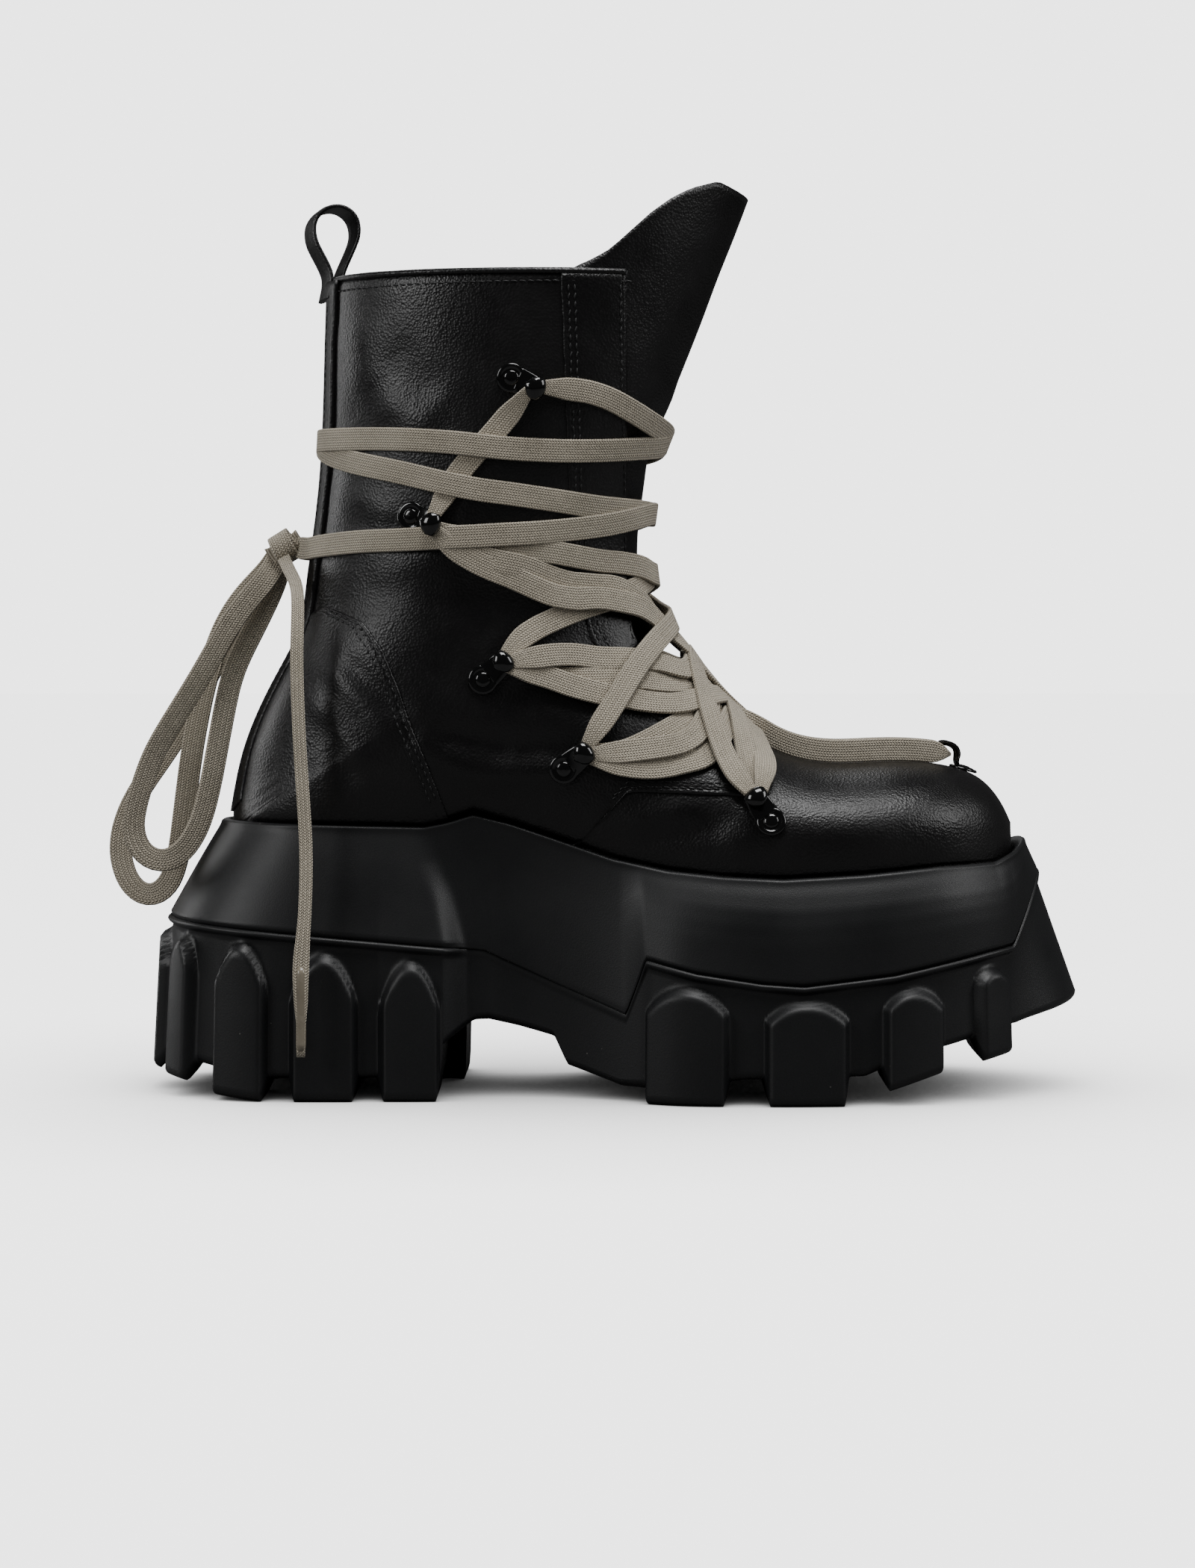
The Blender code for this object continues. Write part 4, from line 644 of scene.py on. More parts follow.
def new_material(name, roughness, **fixed):
    """Principled material with its constant sockets set; returns it with its tree and shader."""
    item = bpy.data.materials.new(name)
    item.use_nodes = True
    shader = item.node_tree.nodes["Principled BSDF"]
    shader.inputs["Roughness"].default_value = roughness
    for key, value in fixed.items():
        shader.inputs[key.replace("_", " ")].default_value = value
    return item, item.node_tree, shader


def calf_leather(name, dark, light, roughness, grain):
    """Smooth chrome-tanned calf, finished black: close pebbled grain of about 0.8 mm, cloudy sheen where it was
    rubbed."""
    item, tree, shader = new_material(name, roughness)
    place = node(tree, "ShaderNodeTexCoord").outputs["Object"]
    cloud = node(tree, "ShaderNodeTexNoise", {"Scale": 38.0, "Detail": 4.0, "Roughness": 0.6}, {"Vector": place})
    pebble = node(tree, "ShaderNodeTexVoronoi", {"Scale": 1150.0, "Randomness": 1.0}, {"Vector": place})
    pore = node(tree, "ShaderNodeTexNoise", {"Scale": 2600.0, "Detail": 2.0}, {"Vector": place})
    soft = node(tree, "ShaderNodeTexNoise", {"Scale": 140.0, "Detail": 3.0}, {"Vector": place})
    ends = {"data_type": "RGBA", 6: linear(dark), 7: linear(light)}
    tint = node(tree, "ShaderNodeMix", ends, {0: cloud.outputs["Fac"]})
    span = {"From Min": 0.3, "From Max": 0.7, "To Min": roughness - 0.07, "To Max": roughness + 0.08}
    rough = node(tree, "ShaderNodeMapRange", span, {"Value": cloud.outputs["Fac"]})
    parts = {0: pore.outputs["Fac"], 2: pebble.outputs["Distance"]}
    mix = node(tree, "ShaderNodeMath", {"operation": "MULTIPLY_ADD", 1: 0.35}, parts)
    fine = node(tree, "ShaderNodeBump", {"Strength": grain, "Distance": 0.0004}, {"Height": mix.outputs[0]})
    parts = {"Height": soft.outputs["Fac"], "Normal": fine.outputs[0]}
    broad = node(tree, "ShaderNodeBump", {"Strength": 0.045, "Distance": 0.003}, parts)
    tree.links.new(tint.outputs[2], shader.inputs["Base Color"])
    tree.links.new(rough.outputs[0], shader.inputs["Roughness"])
    tree.links.new(broad.outputs[0], shader.inputs["Normal"])
    return item


def moulded_rubber(name, dark, light, roughness):
    """Moulded black rubber: dull, a very fine mould grain, a few pale dust specks and faint rubbed patches."""
    item, tree, shader = new_material(name, roughness)
    place = node(tree, "ShaderNodeTexCoord").outputs["Object"]
    patch = node(tree, "ShaderNodeTexNoise", {"Scale": 26.0, "Detail": 5.0}, {"Vector": place})
    grit = node(tree, "ShaderNodeTexNoise", {"Scale": 1800.0, "Detail": 2.0}, {"Vector": place})
    dust = node(tree, "ShaderNodeTexVoronoi", {"Scale": 190.0}, {"Vector": place})
    speck = node(tree, "ShaderNodeMath", {"operation": "LESS_THAN", 1: 0.055}, {0: dust.outputs["Distance"]})
    rare = node(tree, "ShaderNodeSeparateColor", links={"Color": dust.outputs["Color"]})
    few = node(tree, "ShaderNodeMath", {"operation": "GREATER_THAN", 1: 0.93}, {0: rare.outputs["Red"]})
    both = node(tree, "ShaderNodeMath", {"operation": "MULTIPLY"}, {0: speck.outputs[0], 1: few.outputs[0]})
    soft = node(tree, "ShaderNodeMath", {"operation": "MULTIPLY", 1: 0.35}, {0: both.outputs[0]})
    ends = {"data_type": "RGBA", 6: linear(dark), 7: linear(light)}
    tint = node(tree, "ShaderNodeMix", ends, {0: patch.outputs["Fac"]})
    dust_colour = {"data_type": "RGBA", 7: linear("#8A8882")}
    dusty = node(tree, "ShaderNodeMix", dust_colour, {0: soft.outputs[0], 6: tint.outputs[2]})
    span = {"From Min": 0.3, "From Max": 0.7, "To Min": roughness - 0.05, "To Max": roughness + 0.07}
    rough = node(tree, "ShaderNodeMapRange", span, {"Value": patch.outputs["Fac"]})
    bump = node(tree, "ShaderNodeBump", {"Strength": 0.15, "Distance": 0.0003}, {"Height": grit.outputs["Fac"]})
    tree.links.new(dusty.outputs[2], shader.inputs["Base Color"])
    tree.links.new(rough.outputs[0], shader.inputs["Roughness"])
    tree.links.new(bump.outputs[0], shader.inputs["Normal"])
    return item


def woven_tape(name, dark, light):
    """Flat braided cotton lace: plaits 0.9 mm wide, a thread every millimetre that slants left and right in turn,
    matt with a faint sheen of fibre ends. Its colour holds painted shade: darker in the grooves between the threads,
    paler on their raised tops. The UV map is in millimetres."""
    plait_width = 0.9
    item, tree, shader = new_material(name, 0.92, Sheen_Weight=0.25, Sheen_Roughness=0.5)
    flat = node(tree, "ShaderNodeUVMap", {"uv_map": "UVMap"})
    part = node(tree, "ShaderNodeSeparateXYZ", links={0: flat.outputs["UV"]})
    plait = node(tree, "ShaderNodeMath", {"operation": "PINGPONG", 1: plait_width}, {0: part.outputs["X"]})
    slant = node(tree, "ShaderNodeMath", {"operation": "ADD"}, {0: part.outputs["Y"], 1: plait.outputs[0]})
    turn = node(tree, "ShaderNodeMath", {"operation": "MULTIPLY", 1: 2.0 * math.pi}, {0: slant.outputs[0]})
    thread = node(tree, "ShaderNodeMath", {"operation": "SINE"}, {0: turn.outputs[0]})
    per_plait = {"operation": "MULTIPLY", 1: 2.0 * math.pi / plait_width}
    across = node(tree, "ShaderNodeMath", per_plait, {0: part.outputs["X"]})
    rib = node(tree, "ShaderNodeMath", {"operation": "COSINE"}, {0: across.outputs[0]})
    parts = {0: rib.outputs[0], 2: thread.outputs[0]}
    height = node(tree, "ShaderNodeMath", {"operation": "MULTIPLY_ADD", 1: 0.7}, parts)
    place = node(tree, "ShaderNodeTexCoord").outputs["Object"]
    fibre = node(tree, "ShaderNodeTexNoise", {"Scale": 1500.0, "Detail": 3.0}, {"Vector": place})
    worn = node(tree, "ShaderNodeTexNoise", {"Scale": 60.0, "Detail": 2.0}, {"Vector": place})
    # Painted shade: the weave's height sets the colour, dark in the grooves between threads and pale on the raised
    # threads
    span = {"From Min": -1.5, "From Max": 1.2, "To Min": 0.05, "To Max": 0.85}
    level = node(tree, "ShaderNodeMapRange", span, {"Value": height.outputs[0]})
    clamped_sum = {"operation": "ADD", "use_clamp": True}
    shade = node(tree, "ShaderNodeMath", {"operation": "MULTIPLY_ADD", 1: 0.5, 2: -0.25}, {0: fibre.outputs["Fac"]})
    groove_shade_and_fibre_tone = node(tree, "ShaderNodeMath", clamped_sum, {0: level.outputs[0], 1: shade.outputs[0]})
    wear = node(tree, "ShaderNodeMath", {"operation": "MULTIPLY_ADD", 1: 0.3, 2: -0.15}, {0: worn.outputs["Fac"]})
    both = node(tree, "ShaderNodeMath", clamped_sum, {0: groove_shade_and_fibre_tone.outputs[0], 1: wear.outputs[0]})
    ends = {"data_type": "RGBA", 6: linear(dark), 7: linear(light)}
    tint = node(tree, "ShaderNodeMix", ends, {0: both.outputs[0]})
    bump = node(tree, "ShaderNodeBump", {"Strength": 0.7, "Distance": 0.00025}, {"Height": height.outputs[0]})
    parts = {"Height": fibre.outputs["Fac"], "Normal": bump.outputs[0]}
    fuzz = node(tree, "ShaderNodeBump", {"Strength": 0.25, "Distance": 0.0002}, parts)
    tree.links.new(tint.outputs[2], shader.inputs["Base Color"])
    tree.links.new(fuzz.outputs[0], shader.inputs["Normal"])
    return item


def plain_finish(name, dark, light, roughness, scale, **fixed):
    """A finish with slight cloudy colour and roughness change: enamel, thread, lining, polymer tip."""
    item, tree, shader = new_material(name, roughness, **fixed)
    place = node(tree, "ShaderNodeTexCoord").outputs["Object"]
    patch = node(tree, "ShaderNodeTexNoise", {"Scale": scale, "Detail": 3.0}, {"Vector": place})
    ends = {"data_type": "RGBA", 6: linear(dark), 7: linear(light)}
    tint = node(tree, "ShaderNodeMix", ends, {0: patch.outputs["Fac"]})
    span = {"To Min": roughness * 0.8, "To Max": roughness * 1.2}
    rough = node(tree, "ShaderNodeMapRange", span, {"Value": patch.outputs["Fac"]})
    tree.links.new(tint.outputs[2], shader.inputs["Base Color"])
    tree.links.new(rough.outputs[0], shader.inputs["Roughness"])
    return item


calf = calf_leather("calf leather", "#050405", "#0B0A0B", 0.37, 0.34)
rubber = moulded_rubber("moulded rubber", "#0A0B0D", "#111214", 0.47)
enamel = plain_finish(
    "black enamel on steel", "#050505", "#0A0A0B", 0.12, 90.0, Coat_Weight=0.5, Coat_Roughness=0.05
)
thread = plain_finish("waxed polyester thread", "#0E0E0F", "#1C1C1D", 0.42, 400.0)
lining = plain_finish("pigskin lining", "#1B1918", "#2A2725", 0.75, 200.0)
tape = woven_tape("flat cotton lace", "#746B5A", "#E6DBC6")
tip_film = plain_finish("acetate lace tip", "#6E6658", "#A39A88", 0.28, 120.0, Coat_Weight=0.4)

# Camera at the photograph's angle: 1.3 m off the lateral side, 2.5 degrees down
eye = bpy.data.objects.new("camera", bpy.data.cameras.new("camera"))
bpy.context.scene.collection.objects.link(eye)
eye.location = (-0.007, -1.300, 0.165)
eye.rotation_euler = (math.radians(90.0 - 2.46), 0.0, 0.0)
eye.data.lens = 82.6
eye.data.sensor_width = 36.0
bpy.context.scene.camera = eye


def even_path(points, step):
    """Points at even steps along a line of points, ends kept."""
    length = run_length(points)
    at = np.linspace(0.0, length[-1], max(2, int(round(length[-1] / step)) + 1))
    return read_line(at, length, points)


def rounded(points, passes):
    """A line of points with its corners eased: each pass is half itself and a quarter of each neighbour."""
    points = np.array(points, dtype=float)
    for _ in range(passes):
        points[1:-1] = 0.5 * points[1:-1] + 0.25 * (points[:-2] + points[2:])
    return points


def tape_piece(path, across, out, width, depth=LACE_DEPTH):
    """Flat lace: a flat section with rounded edges, wide along across and thin along out, carried along the path; the
    UV map is in millimetres, round the section and along the lace. A width below the full one folds it thicker.
    Gives points, quads, end triangles and the UV map of the points."""
    quarter = np.array([(1.0, 0.0), (0.985, 0.6), (0.93, 0.92), (0.86, 1.0), (0.45, 1.0)])
    back = quarter[:0:-1]
    side = np.concatenate([quarter[:, 0], [0.0], -back[:, 0], -quarter[:, 0], [0.0], back[:, 0]])
    up = np.concatenate([quarter[:, 1], [1.0], back[:, 1], -quarter[:, 1], [-1.0], -back[:, 1]])
    width = np.broadcast_to(np.asarray(width, dtype=float), (len(path),))
    thick = depth * (1.0 + 0.8 * (1.0 - width / width.max()))
    points = path[:, None] + across[:, None] * (width[:, None] * 0.5 * side)[..., None]
    points = points + out[:, None] * (thick[:, None] * 0.5 * up)[..., None]
    length = run_length(path)
    flat = np.stack(np.broadcast_arrays(width.max() * 0.5 * side[None], length[:, None]), axis=-1)
    ring = np.arange(len(side))
    after = np.roll(ring, -1)
    count = len(path) * len(side)
    last = count - len(side)
    caps = np.concatenate([
        np.stack([ring, after, np.full(len(side), count)], axis=1),
        np.stack([last + after, last + ring, np.full(len(side), count + 1)], axis=1),
    ])
    points = np.concatenate([points.reshape(-1, 3), path[[0, -1]]])
    flat = np.concatenate([flat.reshape(-1, 2), [[0.0, 0.0], [0.0, length[-1]]]])
    return points, tube_faces(len(path), len(side)), caps, flat


def make_tape(name, parts, replaces=()):
    """One mesh from several tape sections, quads for the sides and triangles at the ends."""
    points, corners, starts, uvs, base, corner = [], [], [], [], 0, 0
    for part, faces, caps, flat in parts:
        quads, ends = faces.ravel(), caps.ravel()
        points.append(part)
        corners += [quads + base, ends + base]
        starts += [corner + np.arange(0, quads.size, 4), corner + quads.size + np.arange(0, ends.size, 3)]
        uvs += [flat[quads], flat[ends]]
        corner += quads.size + ends.size
        base += len(part)
    points, corners, starts, uvs = (np.concatenate(each) for each in (points, corners, starts, uvs))
    return make_mesh(name, points, corners, starts, uvs, tape, replaces, 0.0)


def hanging_frame(path, face):
    """Across and out directions of a tape along a path, its flat side turned to the given directions."""
    tangent = unit(np.gradient(path, axis=0))
    across = unit(np.cross(tangent, face))
    return across, np.cross(across, tangent)


# Free laces first: the bow's two loops, and the end that hangs in front of the heel
KNOT = np.array([-119.85, 0.0, 194.5])
cord_pieces = {}
for label, table, width, twist in (
    ("bow_loop_outer", BOW_OUTER, LACE_WIDTH, 0.0),
    ("bow_loop_inner", BOW_INNER, LACE_WIDTH, 0.5),
    ("lace_end", LACE_END, 4.6, 0.0),
):
    spans = [[KNOT + (-1.5, -1.2, -1.0)], table]
    if label != "lace_end":
        spans.append([KNOT + (-1.5, 1.2, -1.0)])
    path = even_path(rounded(even_path(np.concatenate(spans), 3.0), 10), 2.2)
    s = np.linspace(0.0, 1.0, len(path))
    facing = np.stack([twist * np.sin(s * math.pi), -np.ones(len(s)), 0.25 * np.sin(s * 2.0 * math.pi)], axis=1)
    across, out = hanging_frame(path, unit(facing))
    wide = np.full(len(path), width)
    if label == "lace_end":
        swell = 0.25 * np.exp(-(((s - 0.845) / 0.05) ** 2))
        wide = width * (1.0 + swell - 0.35 * smooth((s - 0.9) / 0.06))
    piece = make_tape(label + "_lace", [tape_piece(path, across, out, wide)], (label,))
    cord_pieces[label] = (piece, path)


def block_step(x, t):
    """Extra half width round the heel block: full ahead of the S-shaped edge line, drawn in behind it. t is 0 at the
    sole's top edge and 1 at the ledge; the edge line's x runs from -68 down to -57."""
    edge = np.interp(t, (0.0, 0.3, 0.6, 1.0), (-68.0, -66.0, -61.0, -57.0))
    now = np.interp(-x, -STATION["ledge_x"], STATION["ledge_half"])
    heel = np.interp(x, (-84.0, -50.0), (46.8, 47.4))
    waist = np.interp(x, (-64.0, -42.0, -20.0), (40.2, 39.6, 40.8))
    ahead = smooth((x - edge) / 10.0 + 0.5)
    extra = (1.0 - ahead) * (heel - now) + ahead * (waist - now)
    held = smooth((x + 88.0) / 6.0) * smooth((-36.0 - x) / 8.0)
    return extra * held * t


# Fine stations along the ledge, with the length run from the toe and the x of each
FINE = np.linspace(0.0, HEEL_TIP, 1901)
FINE_RUN = run_length(edge_point("ledge", FINE, -1.0))
FINE_X = spline(STATION["ledge_x"], FINE, True, True)


def ledge_run(x):
    """Length along the ledge from the toe to where it passes x."""
    return np.interp(np.interp(-np.asarray(x, dtype=float), -FINE_X, FINE), FINE, FINE_RUN)


def sole_stations(count, extra=()):
    """Stations spaced evenly along the ledge's length, with some added at given lengths."""
    even = np.interp(np.linspace(0.0, FINE_RUN[-1], count), FINE_RUN, FINE)
    added = np.interp(np.asarray(extra, dtype=float), FINE_RUN, FINE)
    return np.unique(np.round(np.concatenate([even, added]), 5))


def outward(edge, u, side):
    """Unit plan normal of the edge, with a zero height added."""
    out = unit(edge_point(edge, u, side, 1.0) - edge_point(edge, u, side))
    return np.concatenate([out, np.zeros((len(u), 1))], axis=1)


def midsole_side(u, side, levels):
    """Side wall of the midsole: straight from top edge to ledge, swelled by the bulge, drawn in at the waist, with a
    soft lip along the top edge."""
    top, ledge = edge_point("top", u, side), edge_point("ledge", u, side)
    out = outward("top", u, side)
    top_z, ledge_z = line_at(TOP_LINE, top[:, 0]), line_at(LEDGE_LINE, ledge[:, 0])
    bulge = spline(STATION["bulge"], u)
    swell = np.interp(levels, (0.0, 0.15, 0.3, 0.45, 0.62, 0.8, 1.0), (0.0, 0.62, 1.0, 1.02, 0.8, 0.42, 0.0))
    plan = top[:, None] + (ledge - top)[:, None] * levels[None, :, None]
    plan = plan + out[:, None, :2] * (bulge[:, None] * swell)[..., None]
    z = top_z[:, None] + (ledge_z - top_z)[:, None] * levels
    plan[..., 1] += side * block_step(plan[..., 0], np.broadcast_to(levels, plan.shape[:2]))
    drop = top_z[:, None] - z
    lip = 0.55 * np.exp(-((drop / 1.6) ** 2)) - 0.9 * (1.0 - np.clip(drop / 0.8, 0.0, 1.0)) ** 2
    foot = -1.3 * smooth((levels - 0.955) / 0.045) * lip_size(ledge[:, 0])[:, None]
    plan = plan + out[:, None, :2] * (lip + foot)[..., None]
    return np.concatenate([plan, z[..., None]], axis=-1)


def lip_size(x):
    """How far the ledge stands out: full at heel and forefoot, a mere groove at the waist."""
    return 1.0 - 0.8 * smooth((x + 60.0) / 6.0) * smooth((12.0 - x) / 6.0)


HEEL_LUG_X = -160.2  # the lug across the heel's tip starts here on both sides
WALL_ROWS = 31


def outsole_side(u, side):
    """Side wall of the outsole: a rounded ledge lip, a wall behind it leaning outward, and lugs that stand 4.5 mm
    proud inside arched outlines with bevelled edges. Gives the wall, its lowest height and the tread's height between
    the lugs."""
    ledge = edge_point("ledge", u, side)
    out = outward("ledge", u, side)
    x = ledge[:, 0]
    step = block_step(x, np.ones(len(x)))
    ledge_z = line_at(LEDGE_LINE, x)
    lug_z, base_z = line_at(LUG_LINE, x), line_at(BASE_LINE, x)
    s = np.interp(u, FINE, FINE_RUN)
    first = 0 if side < 0.0 else 2
    column = np.zeros(len(u))
    outline = []
    for lug in np.array(LUGS):
        front_x, back_x, apex, shoulder = *lug[first:first + 2], *lug[4:]
        start, stop = ledge_run(front_x), ledge_run(back_x)
        if front_x == HEEL_LUG_X:
            stop = 2.0 * FINE_RUN[-1] - start
        inside = np.minimum(s - start, stop - s)
        column = np.maximum(column, smooth((inside + 0.6) / 2.6))
        outline.append((start, stop, apex, shoulder))
    low_z = base_z + (lug_z - base_z) * column
    lip_z = np.array([0.0, 0.5, 1.1, 1.9, 2.6])
    lip_out = np.array([-0.5, 0.05, 0.3, -0.2, -1.2])
    tall = ledge_z - low_z
    z_lip = ledge_z[:, None] - lip_z[None, :]
    z_wall = (ledge_z - 3.2)[:, None] + (low_z + 2.2 - ledge_z + 3.2)[:, None] * np.linspace(0.0, 1.0, WALL_ROWS)
    z_low = low_z[:, None] + np.array([1.2, 0.45, 0.0])
    z = np.concatenate([z_lip, z_wall, z_low], axis=1)
    lean = spline(STATION["lean"], u)
    share = np.clip((ledge_z[:, None] - z) / np.maximum(tall, 1.0)[:, None], 0.0, 1.0)
    pad = np.zeros_like(z)
    for start, stop, apex, shoulder in outline:
        t = (s - 0.5 * (start + stop)) / (0.5 * (stop - start))
        arch = shoulder + (apex - shoulder) * (1.0 - np.abs(np.clip(t, -1.0, 1.0)) ** 2.2)
        gap = np.minimum(np.minimum(s - start, stop - s)[:, None], (arch[:, None] - z) * 0.75)
        pad = np.maximum(pad, smooth((gap + 0.4) / 2.8))
    size = lip_size(x)[:, None]
    inset = np.concatenate([
        lip_out[None, :] * size - 1.7 * (1.0 - size) * 0.4,
        np.full((len(u), WALL_ROWS), -1.0) * (1.7 * size + 0.7 * (1.0 - size)),
        np.tile(np.array([-0.5, -1.3, -2.3]), (len(u), 1)) - 1.7,
    ], axis=1)
    offset = inset + lean[:, None] * share + 4.5 * pad * (share > 0.02)
    plan = ledge[:, None] + out[:, None, :2] * offset[..., None]
    plan[..., 1] += side * step[:, None]
    return np.concatenate([plan, z[..., None]], axis=-1), low_z, base_z


# Extra sections close round both ends of each lug make its walls steep
lug_ends = ledge_run(np.array(LUGS)[:, :4].ravel())[:, None] + np.array([-2.0, -1.0, 0.0, 0.5, 1.0, 2.0])
stations = sole_stations(330, np.clip(lug_ends.ravel(), 0.0, None))
lateral_wall, low_l, base_l = outsole_side(stations, -1.0)
medial_wall, low_m, base_m = outsole_side(stations, 1.0)
# Tread: each lug runs in to a channel under the middle
across = np.linspace(0.0, 1.0, 25)[1:-1]
side_share = np.abs(2.0 * across - 1.0)
under = lateral_wall[:, -1:] + (medial_wall[:, -1:] - lateral_wall[:, -1:]) * across[None, :, None]
deep_l = base_l[:, None] + (low_l - base_l)[:, None] * smooth((side_share - 0.24) / 0.06)
deep_m = base_m[:, None] + (low_m - base_m)[:, None] * smooth((side_share - 0.24) / 0.06)
under[..., 2] = np.where(across[None, :] < 0.5, deep_l, deep_m)
over = np.array([0.75, 0.5, 0.25])[None, :, None]
lid = lateral_wall[:, :1] + (medial_wall[:, :1] - lateral_wall[:, :1]) * over
loops = np.concatenate([lateral_wall, under, medial_wall[:, ::-1], lid], axis=1)
make_piece("outsole_rubber", loops, tube_faces(*loops.shape[:2]), rubber, "rubber", ("outsole",))

# Midsole: side walls from the top edge down to the ledge, then the rim and the recess inside it
u = sole_stations(360)
levels = np.concatenate([
    [0.0, 0.006, 0.014, 0.024, 0.036, 0.052, 0.075], np.linspace(0.1, 0.93, 22), [0.955, 0.97, 0.985, 1.0],
])
walls = [midsole_side(u, side, levels) for side in (-1.0, 1.0)]
cups = []
for side, wall in zip((-1.0, 1.0), walls):
    inner = edge_point("top", u, side, -RIM)
    rim_z = line_at(TOP_LINE, inner[:, 0])
    floor_z = floor_line(inner[:, 0])
    cup = [np.column_stack([inner, z]) for z in (floor_z, 0.5 * (floor_z + rim_z), rim_z - 0.7)]
    cup.append(np.column_stack([edge_point("top", u, side, -RIM + 0.6), rim_z]))
    cups.append(np.concatenate([np.stack(cup, axis=1), wall], axis=1))
loops = np.concatenate([cups[0], cups[1][:, ::-1]], axis=1)
make_piece("midsole_rubber", loops, tube_faces(*loops.shape[:2]), rubber, "rubber", ("midsole",))
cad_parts["insole"].data.materials.clear()
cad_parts["insole"].data.materials.append(lining)

# Vamp and lining: the hollow upper as one skin, open at collar, throat and foot
row = np.unique(np.concatenate([
    np.linspace(0.0, 2.0, 30), np.linspace(2.0, THROAT_ROW, 64), np.linspace(THROAT_ROW, 8.6, 14),
    np.linspace(8.6, HEEL_TIP, 92), np.linspace(HEEL_TIP, COLLAR_ROW, 90),
]))
throat = facing_share(row)
share = throat[:, None] + (1.0 - throat)[:, None] * np.linspace(0.0, 1.0, 81)
share = np.maximum(share, 1e-9)  # its sign tells the side, so it isn't quite zero
rows, columns = share.shape
block = rows * columns
sheets = [leather_point(row[:, None], side * share, lift) for lift in (0.0, -WALL) for side in (1.0, -1.0)]
faces = [grid_faces(rows, columns, k * block)[:, :: (1 if k in (0, 3) else -1)] for k in range(4)]
throat_rim = np.arange(int(np.searchsorted(row, THROAT_ROW)), rows) * columns
top_rim = (rows - 1) * columns + np.arange(columns)
foot_rim = np.arange(int(np.searchsorted(row, HEEL_TIP)) + 1) * columns + columns - 1
for start in (0, block):
    for rim in (throat_rim + start, top_rim + start, foot_rim + start):
        faces.append(np.stack([rim[:-1], rim[1:], rim[1:] + 2 * block, rim[:-1] + 2 * block], axis=1))
points = np.concatenate([sheet.reshape(-1, 3) for sheet in sheets])
make_piece("upper_leather", points, np.concatenate(faces), calf, "leather", ("upper",), weld=0.05)

# Quarters, facing strips and counters lie over it
for side, label in ((1.0, "lateral"), (-1.0, "medial")):
    row = np.unique(np.concatenate([
        np.linspace(8.06, 9.0, 16), np.linspace(9.0, HEEL_TIP, 100), np.linspace(HEEL_TIP, 28.97, 90),
    ]))
    start, end = facing_share(row) + 0.004, vamp_share(row)
    end = np.convolve(np.pad(end, 1, mode="edge"), (0.25, 0.5, 0.25), mode="valid")
    sheet = panel_grid(side, row, start, end, (0.0, PANEL), ("start", "end", "low", "top"), 60)
    make_piece("quarter_" + label, *closed_sheet(*sheet), calf, "leather")
    row = np.linspace(8.4, 28.97, 150)
    start, end = facing_share(row) + 0.012, strip_share(row)
    end = np.maximum(end, start + 0.01)
    sheet = panel_grid(side, row, start, end, (PANEL, PANEL + 0.55), ("end", "top"), 14, (2.4, 4.6))
    make_piece("facing_" + label, *closed_sheet(*sheet), calf, "leather")
    row = np.linspace(13.2, 24.2, 120)
    front = counter_share(row)
    back = np.full(len(row), 0.988)
    front = np.minimum(front, back - 0.03)
    sheet = panel_grid(side, row, front, back, (PANEL, 2.0 * PANEL), ("start", "top"), 34, (2.0, 4.4))
    make_piece("counter_" + label + "_leather", *closed_sheet(*sheet), calf, "leather", ("counter_" + label,))

# Back stay over the rear seam, 15 mm to each side of it
row = np.linspace(19.35, 28.95, 110)
beside = np.array([0.6, 0.72, 0.8, 0.87, 0.93, 0.97, 0.993, 1.0])
shares = 1.0 + STAY_HALF * np.concatenate([-beside[::-1], np.linspace(-0.5, 0.5, 9), beside])
rise = edge_profile((1.0 - np.abs(shares - 1.0) / STAY_HALF) * 15.0, 0.8, (2.4,))
outer = leather_point(row[:, None], wrap(shares)[None, :], 1.2 + 1.4 * rise[None, :])
inner = leather_point(row[:, None], wrap(shares)[None, :], 0.5)
make_piece("stay_leather", *closed_sheet(outer, inner), calf, "leather", ("back_stay",))

# Tongue: one curved sheet inside the throat, each column of it ending where it meets the photographed top edge
shares = np.linspace(-1.0, 1.0, 61)
levels = np.linspace(0.0, 1.0, 120)
edge_row, edge_share = np.array(TONGUE_EDGE).T
fine = np.linspace(28.0, 32.0, 801)
grids = []
for lift in (-TONGUE_DROP, -TONGUE_DROP - 1.7):
    reach = shares[None, :] * np.interp(fine, edge_row, edge_share)[:, None]
    point = leather_point(fine[:, None], reach, lift)
    over = point[..., 2] >= line_at(TONGUE_TOP, point[..., 0])
    top = np.where(over.any(axis=0), fine[np.argmax(over, axis=0)], 32.0)
    rows_at = edge_row[0] + (top - edge_row[0])[None, :] * levels[:, None]
    share = shares[None, :] * np.interp(rows_at, edge_row, edge_share)
    grids.append(leather_point(rows_at, share, lift))
make_piece("tongue_leather", *closed_sheet(*grids), calf, "leather", ("tongue",))

# Pull loop: a folded strip 22 mm wide with a groove along each turned edge, twisted a little to the camera; both
# legs run on down behind the collar
path = np.array([(x, 0.0, z) for x, z in ((-105.4, 283.0), *LOOP_LINE, (-100.4, 284.0))])
path = even_path(rounded(even_path(path, 1.0), 12), 0.9)
tangent = unit(np.gradient(path, axis=0))
twist = math.radians(13.0)
across = np.tile([math.sin(-twist), math.cos(twist), 0.0], (len(path), 1))
normal = np.cross(across, tangent)
ring = turn_angles(24)
flat, deep = boxy(np.cos(ring), 0.35), boxy(np.sin(ring), 0.6)
deep = deep * (1.0 - 0.22 * np.exp(-(((np.abs(flat) - 0.8) / 0.07) ** 2)))
loops = path[:, None] + across[:, None] * (11.0 * flat)[None, :, None]
loops = loops + normal[:, None] * (0.95 * deep)[None, :, None]
make_piece("loop_leather", *capped(loops), calf, "leather", ("pull_loop",))


